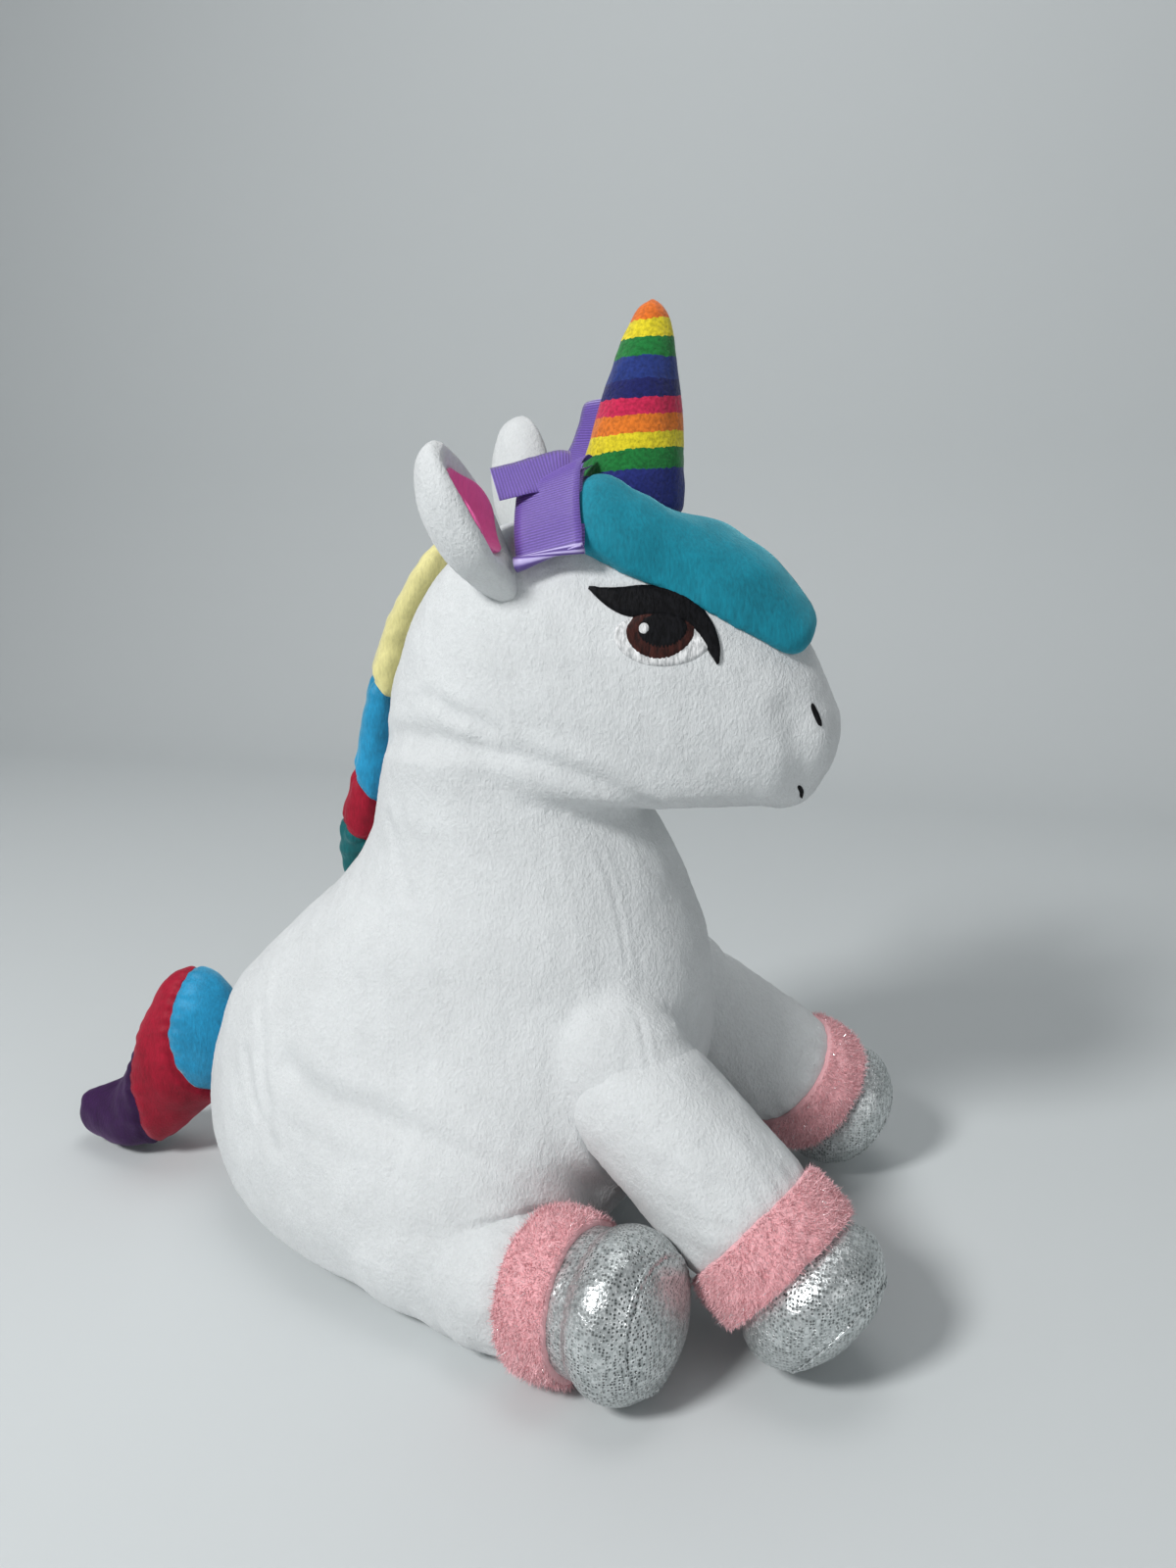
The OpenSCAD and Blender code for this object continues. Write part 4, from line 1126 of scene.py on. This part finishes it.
def build_ribbon(name, node, path, width_way, width):
    """A grosgrain ribbon along a path, with its cross ribs in the mesh."""
    path = smooth_path(path, RIB / 6)
    gaps = run_of(path)
    at = np.arange(0, gaps[-1], RIB / 6)
    path = np.stack([np.interp(at, gaps, path[:, k]) for k in range(3)], 1)
    kernel = np.ones(9) / 9
    for k in range(3):
        path[4:-4, k] = np.convolve(path[:, k], kernel, "valid")
    rings, ribs, highlight_at_folds = [], [], []
    columns = 9
    for i, place in enumerate(path):
        way = heading(path, i)
        across = np.array(width_way, float)
        across = unit(across - way * (across @ way))
        out = np.cross(way, across)
        phase = math.sin(2 * math.pi * at[i] / RIB)
        share = np.linspace(-1, 1, columns)
        edge = np.where(np.abs(share) > 0.9, 0.25, 1.0)
        middle = place + np.outer(share * width / 2, across)
        half = np.outer((THICKNESS / 2 + 0.09 * phase) * edge, out)
        rings.append(np.concatenate([middle + half, (middle - half)[::-1]]))
        ribs += [0.5 + 0.5 * phase] * (2 * columns)
        # How sharply the ribbon turns here, used as the mask of the painted highlight on the rib tops at
        # folds.
        before, after = path[max(i - 24, 0)], path[min(i + 24, len(path) - 1)]
        turning = (place - before) @ (after - place)
        turning /= max(1e-6, np.linalg.norm(place - before) * np.linalg.norm(after - place))
        highlight_at_folds += [float(np.clip((0.9 - turning) / 0.5, 0, 0.9))] * (2 * columns)
    piece = make_piece(name, *loft(rings), purple_ribbon)
    # rib marks where the material paints shade in the hollows; bent marks where it paints a highlight on the
    # folds.
    store(piece, "rib", ribs + [0.5, 0.5])
    store(piece, "bent", highlight_at_folds + [0, 0])
    dress(piece, node, body="head")


NEAR_LOOP = [
    (61, -15, 271), (60.5, -20, 271.3), (60.3, -27, 268.4), (61.2, -32.5, 262.5), (62.5, -37, 256),
    (64, -40.2, 249.5), (64.6, -41.8, 246.6), (64.7, -41.6, 244.8), (64.6, -39.8, 246.4),
    (64, -37.4, 251.4), (62.8, -34.2, 257), (61.5, -30, 262.8), (60.8, -24, 266.8), (61, -15, 268.8)]
FAR_LOOP = [
    (59, -11, 270), (56.5, -1, 271.5), (58, 9, 275.5), (61.5, 15, 281.5), (64, 18, 289),
    (65.5, 20.6, 296.6), (68, 23.6, 296.4), (68.4, 26.4, 291), (66, 23, 280), (59.5, 9, 270.6),
    (58.5, -4, 268.8), (59, -11, 268.4)]
STRAP = [(65, -18, 270.6), (60, -20.5, 271), (54, -23.2, 270), (48, -25.8, 268.4), (42.5, -28, 267)]


def build_bow():
    build_ribbon("bow_near_loop", "bow_loop_right", NEAR_LOOP, (0.93, 0.05, 0.42), 22)
    build_ribbon("bow_far_loop", "bow_loop_left", FAR_LOOP, (0.80, -0.45, 0.12), 22)
    build_ribbon("bow_strap", "bow_tail", STRAP, (-0.25, -0.80, -0.55), 20)
    coil, rings, steps, rounds = [], [], 90, 4.5
    for share in np.arange(steps + 1) / steps:
        a = share * 2 * math.pi * rounds
        coil.append(np.array([62.5 + 1.5 * math.cos(a), -14 - 3.0 * (share - 0.5), 271 + 2.0 * math.sin(a)]))
    for i, place in enumerate(coil):
        _, side, up = square_frame(coil[min(i + 1, steps)] - coil[max(i - 1, 0)] + [0, 0, 1e-4])
        rings.append(np.array([place + 0.45 * (side * math.cos(t) + up * math.sin(t))
                               for t in circle(8)]))
    knot = make_piece("bow_knot", *loft(rings), black_thread)
    dress(knot, "bow_thread", body="head")


build_bow()


# ----- mane -----

def straight(z):
    return 0 * z


def cut(piece, name, place, way, material, bend=straight):
    """Splits a closed piece with a plane, or with a surface whose x at each height is given by bend.
    What lies ahead becomes a new closed piece."""
    ahead = piece.copy()
    ahead.data = piece.data.copy()
    ahead.name = name
    bpy.context.scene.collection.objects.link(ahead)
    for part, sense in ((piece, 1), (ahead, -1)):
        points = get_points(part)
        points[:, 0] -= bend(points[:, 2])
        set_points(part, points)
        work = bmesh.new()
        work.from_mesh(part.data)
        found = bmesh.ops.bisect_plane(work, geom=work.verts[:] + work.edges[:] + work.faces[:],
                                       plane_co=Vector(place) * MM, plane_no=Vector(way) * sense,
                                       clear_outer=True)
        edges = [e for e in found["geom_cut"] if isinstance(e, bmesh.types.BMEdge)]
        bmesh.ops.holes_fill(work, edges=edges)
        bmesh.ops.triangulate(work, faces=[f for f in work.faces if len(f.verts) > 4])
        bmesh.ops.recalc_face_normals(work, faces=work.faces)
        work.to_mesh(part.data)
        work.free()
        points = get_points(part)
        points[:, 0] += bend(points[:, 2])
        set_points(part, points)
    ahead.data.materials.clear()
    ahead.data.materials.append(material)
    return ahead


def mane_gap(points):
    """Each point's distance from the nearest of the mane's seams."""
    return np.min([np.abs((points - np.array(place)) @ unit(np.array(way, float)))
                   for place, way in MANE_SEAMS], axis=0)


# A point on each of the mane's seams, and the direction square to it
MANE_SEAMS = [((-8, 0, 199.5), (0.75, 0, 0.66)), ((-14.5, 0, 161.5), (0.8, 0, 0.6)),
              ((-19, 0, 144.5), (0.6, 0, 0.8))]
# Outer edge of the mane, and half its thickness there
MANE_EDGE = [
    (-29, 126, 2), (-30, 132, 5), (-30.5, 140, 8), (-28.5, 150, 9), (-24.5, 162, 8.5), (-21, 175, 8),
    (-18, 188, 7.5), (-13.5, 204, 7), (-8, 221, 6.5), (2, 238, 6), (10, 248, 5), (15, 252, 2.5)]


def build_mane():
    path = smooth_path([(x, 0, z) for x, z, _ in MANE_EDGE], 2.0)
    thick = np.interp(path[:, 2], [z for _, z, _ in MANE_EDGE], [half for _, _, half in MANE_EDGE])
    rings = []
    for i, place in enumerate(path):
        out = np.cross(heading(path, i), [0, 1, 0])
        out *= -np.sign(out[0])
        share = i / (len(path) - 1)
        angle = circle(36)
        narrow = min(1, 0.35 + 3.5 * share) * min(1, 0.5 + 5 * (1 - share))
        wide = np.sign(np.cos(angle)) * np.abs(np.cos(angle)) ** 0.8 * 13 * narrow
        high = np.sin(angle) * thick[i]
        rings.append(place - out * thick[i] + np.outer(wide, [0, 1, 0]) + np.outer(high, out))
    mane = make_piece("neck_mane", *loft(rings), green_velour)
    remesh(mane, voxel=1.8, smoothing=3)
    inflate(mane, cap=1.6, shrink=0.5, pressure=3, pinned=bell(mane_gap(get_points(mane)), 1.6))
    subdivide(mane)
    points, normals = points_normals(mane)
    seam_gap = mane_gap(points)
    pucker = 0.5 * np.sin(points[:, 1] * 1.5) * bell(seam_gap, 6)
    rough = 0.5 * waves(points * [1, 0.5, 1.6], 13, 21)
    points += normals * (rough + pucker - 1.1 * bell(seam_gap, 1.5))[:, None]
    set_points(mane, points)
    crimson = cut(mane, "nape_mane", *MANE_SEAMS[2], crimson_velour)
    blue = cut(crimson, "poll_mane", *MANE_SEAMS[1], blue_velour)
    yellow = cut(blue, "top_mane", *MANE_SEAMS[0], yellow_velour)
    for piece, colour in ((mane, "teal"), (crimson, "crimson"), (blue, "blue"), (yellow, "yellow")):
        dress(piece, "mane_" + colour, across=NECK, fill=0.5)


build_mane()


# ----- tail -----

# Distance behind the origin, then the lower and upper edge and the half width
TAIL_ROWS = [
    [78, 44, 66, 6], [84, 36, 76, 11], [90, 28, 82.5, 14], [97, 21.5, 84.5, 17], [103, 16, 83.5, 18.5],
    [108, 11.5, 80.5, 19], [116, 5.5, 73, 19], [123, 2.5, 58, 18], [130, 1, 41, 16], [136, 0.5, 33, 14],
    [144, 1, 28, 11.5], [151, 2.5, 25, 9], [156.5, 5.5, 22.5, 6.5], [159.5, 9.5, 18.5, 2]]
# The tail's two seams as curves: x of the seam at each height
TAIL_CURVES = [
    [(0, -78), (26, -86), (33, -89), (37, -94), (46, -99), (59, -102), (73, -101), (90, -97.5)],
    [(0, -120), (12, -119), (28, -117.5), (38, -121), (49, -123), (62, -125), (90, -128)]]


def tail_curve(which):
    heights = [z for z, _ in TAIL_CURVES[which]]
    places = [x for _, x in TAIL_CURVES[which]]
    return lambda z: np.interp(z, heights, places)


def tail_gap(points):
    return np.min([np.abs(points[:, 0] - tail_curve(which)(points[:, 2])) * 0.9 for which in (0, 1)], axis=0)


def build_tail():
    rings = []
    for back in np.linspace(78, 159.5, 44):
        low, high, half = hermite(TAIL_ROWS, back)
        angle = circle(44)
        rings.append(np.stack([np.full(44, -back), half * np.cos(angle) * (1 - 0.12 * np.sin(angle)),
                               (low + high) / 2 + (high - low) / 2 * np.sin(angle)], 1))
    tail = make_piece("tail_root", *loft(rings), blue_velour)
    remesh(tail, voxel=1.8, smoothing=4)
    inflate(tail, cap=2.4, pinned=bell(tail_gap(get_points(tail)), 1.8))
    subdivide(tail)
    points, normals = points_normals(tail)
    seam_gap = tail_gap(points)
    pucker = 0.3 * np.sin(points[:, 2] * 0.9 + points[:, 1]) * bell(seam_gap, 5)
    rough = 0.6 * waves(points, 24, 9) + 0.2 * waves(points, 9, 10)
    points += normals * (rough + pucker - 1.1 * bell(seam_gap, 1.4))[:, None]
    set_points(tail, settle(points))
    crimson = cut(tail, "tail_bend", (0, 0, 0), (-1, 0, 0), crimson_velour, bend=tail_curve(0))
    purple = cut(crimson, "tail_tip", (0, 0, 0), (-1, 0, 0), purple_velour, bend=tail_curve(1))
    crossing = ("torso", "tail", (-80, 0, 60), (-96, 0, 60))
    dress(tail, "tail_blue", "tail_stuffing", across=crossing, fill=0.7)
    dress(crimson, "tail_crimson", across=crossing, fill=0.7)
    dress(purple, "tail_purple", across=crossing, fill=0.7)


build_tail()
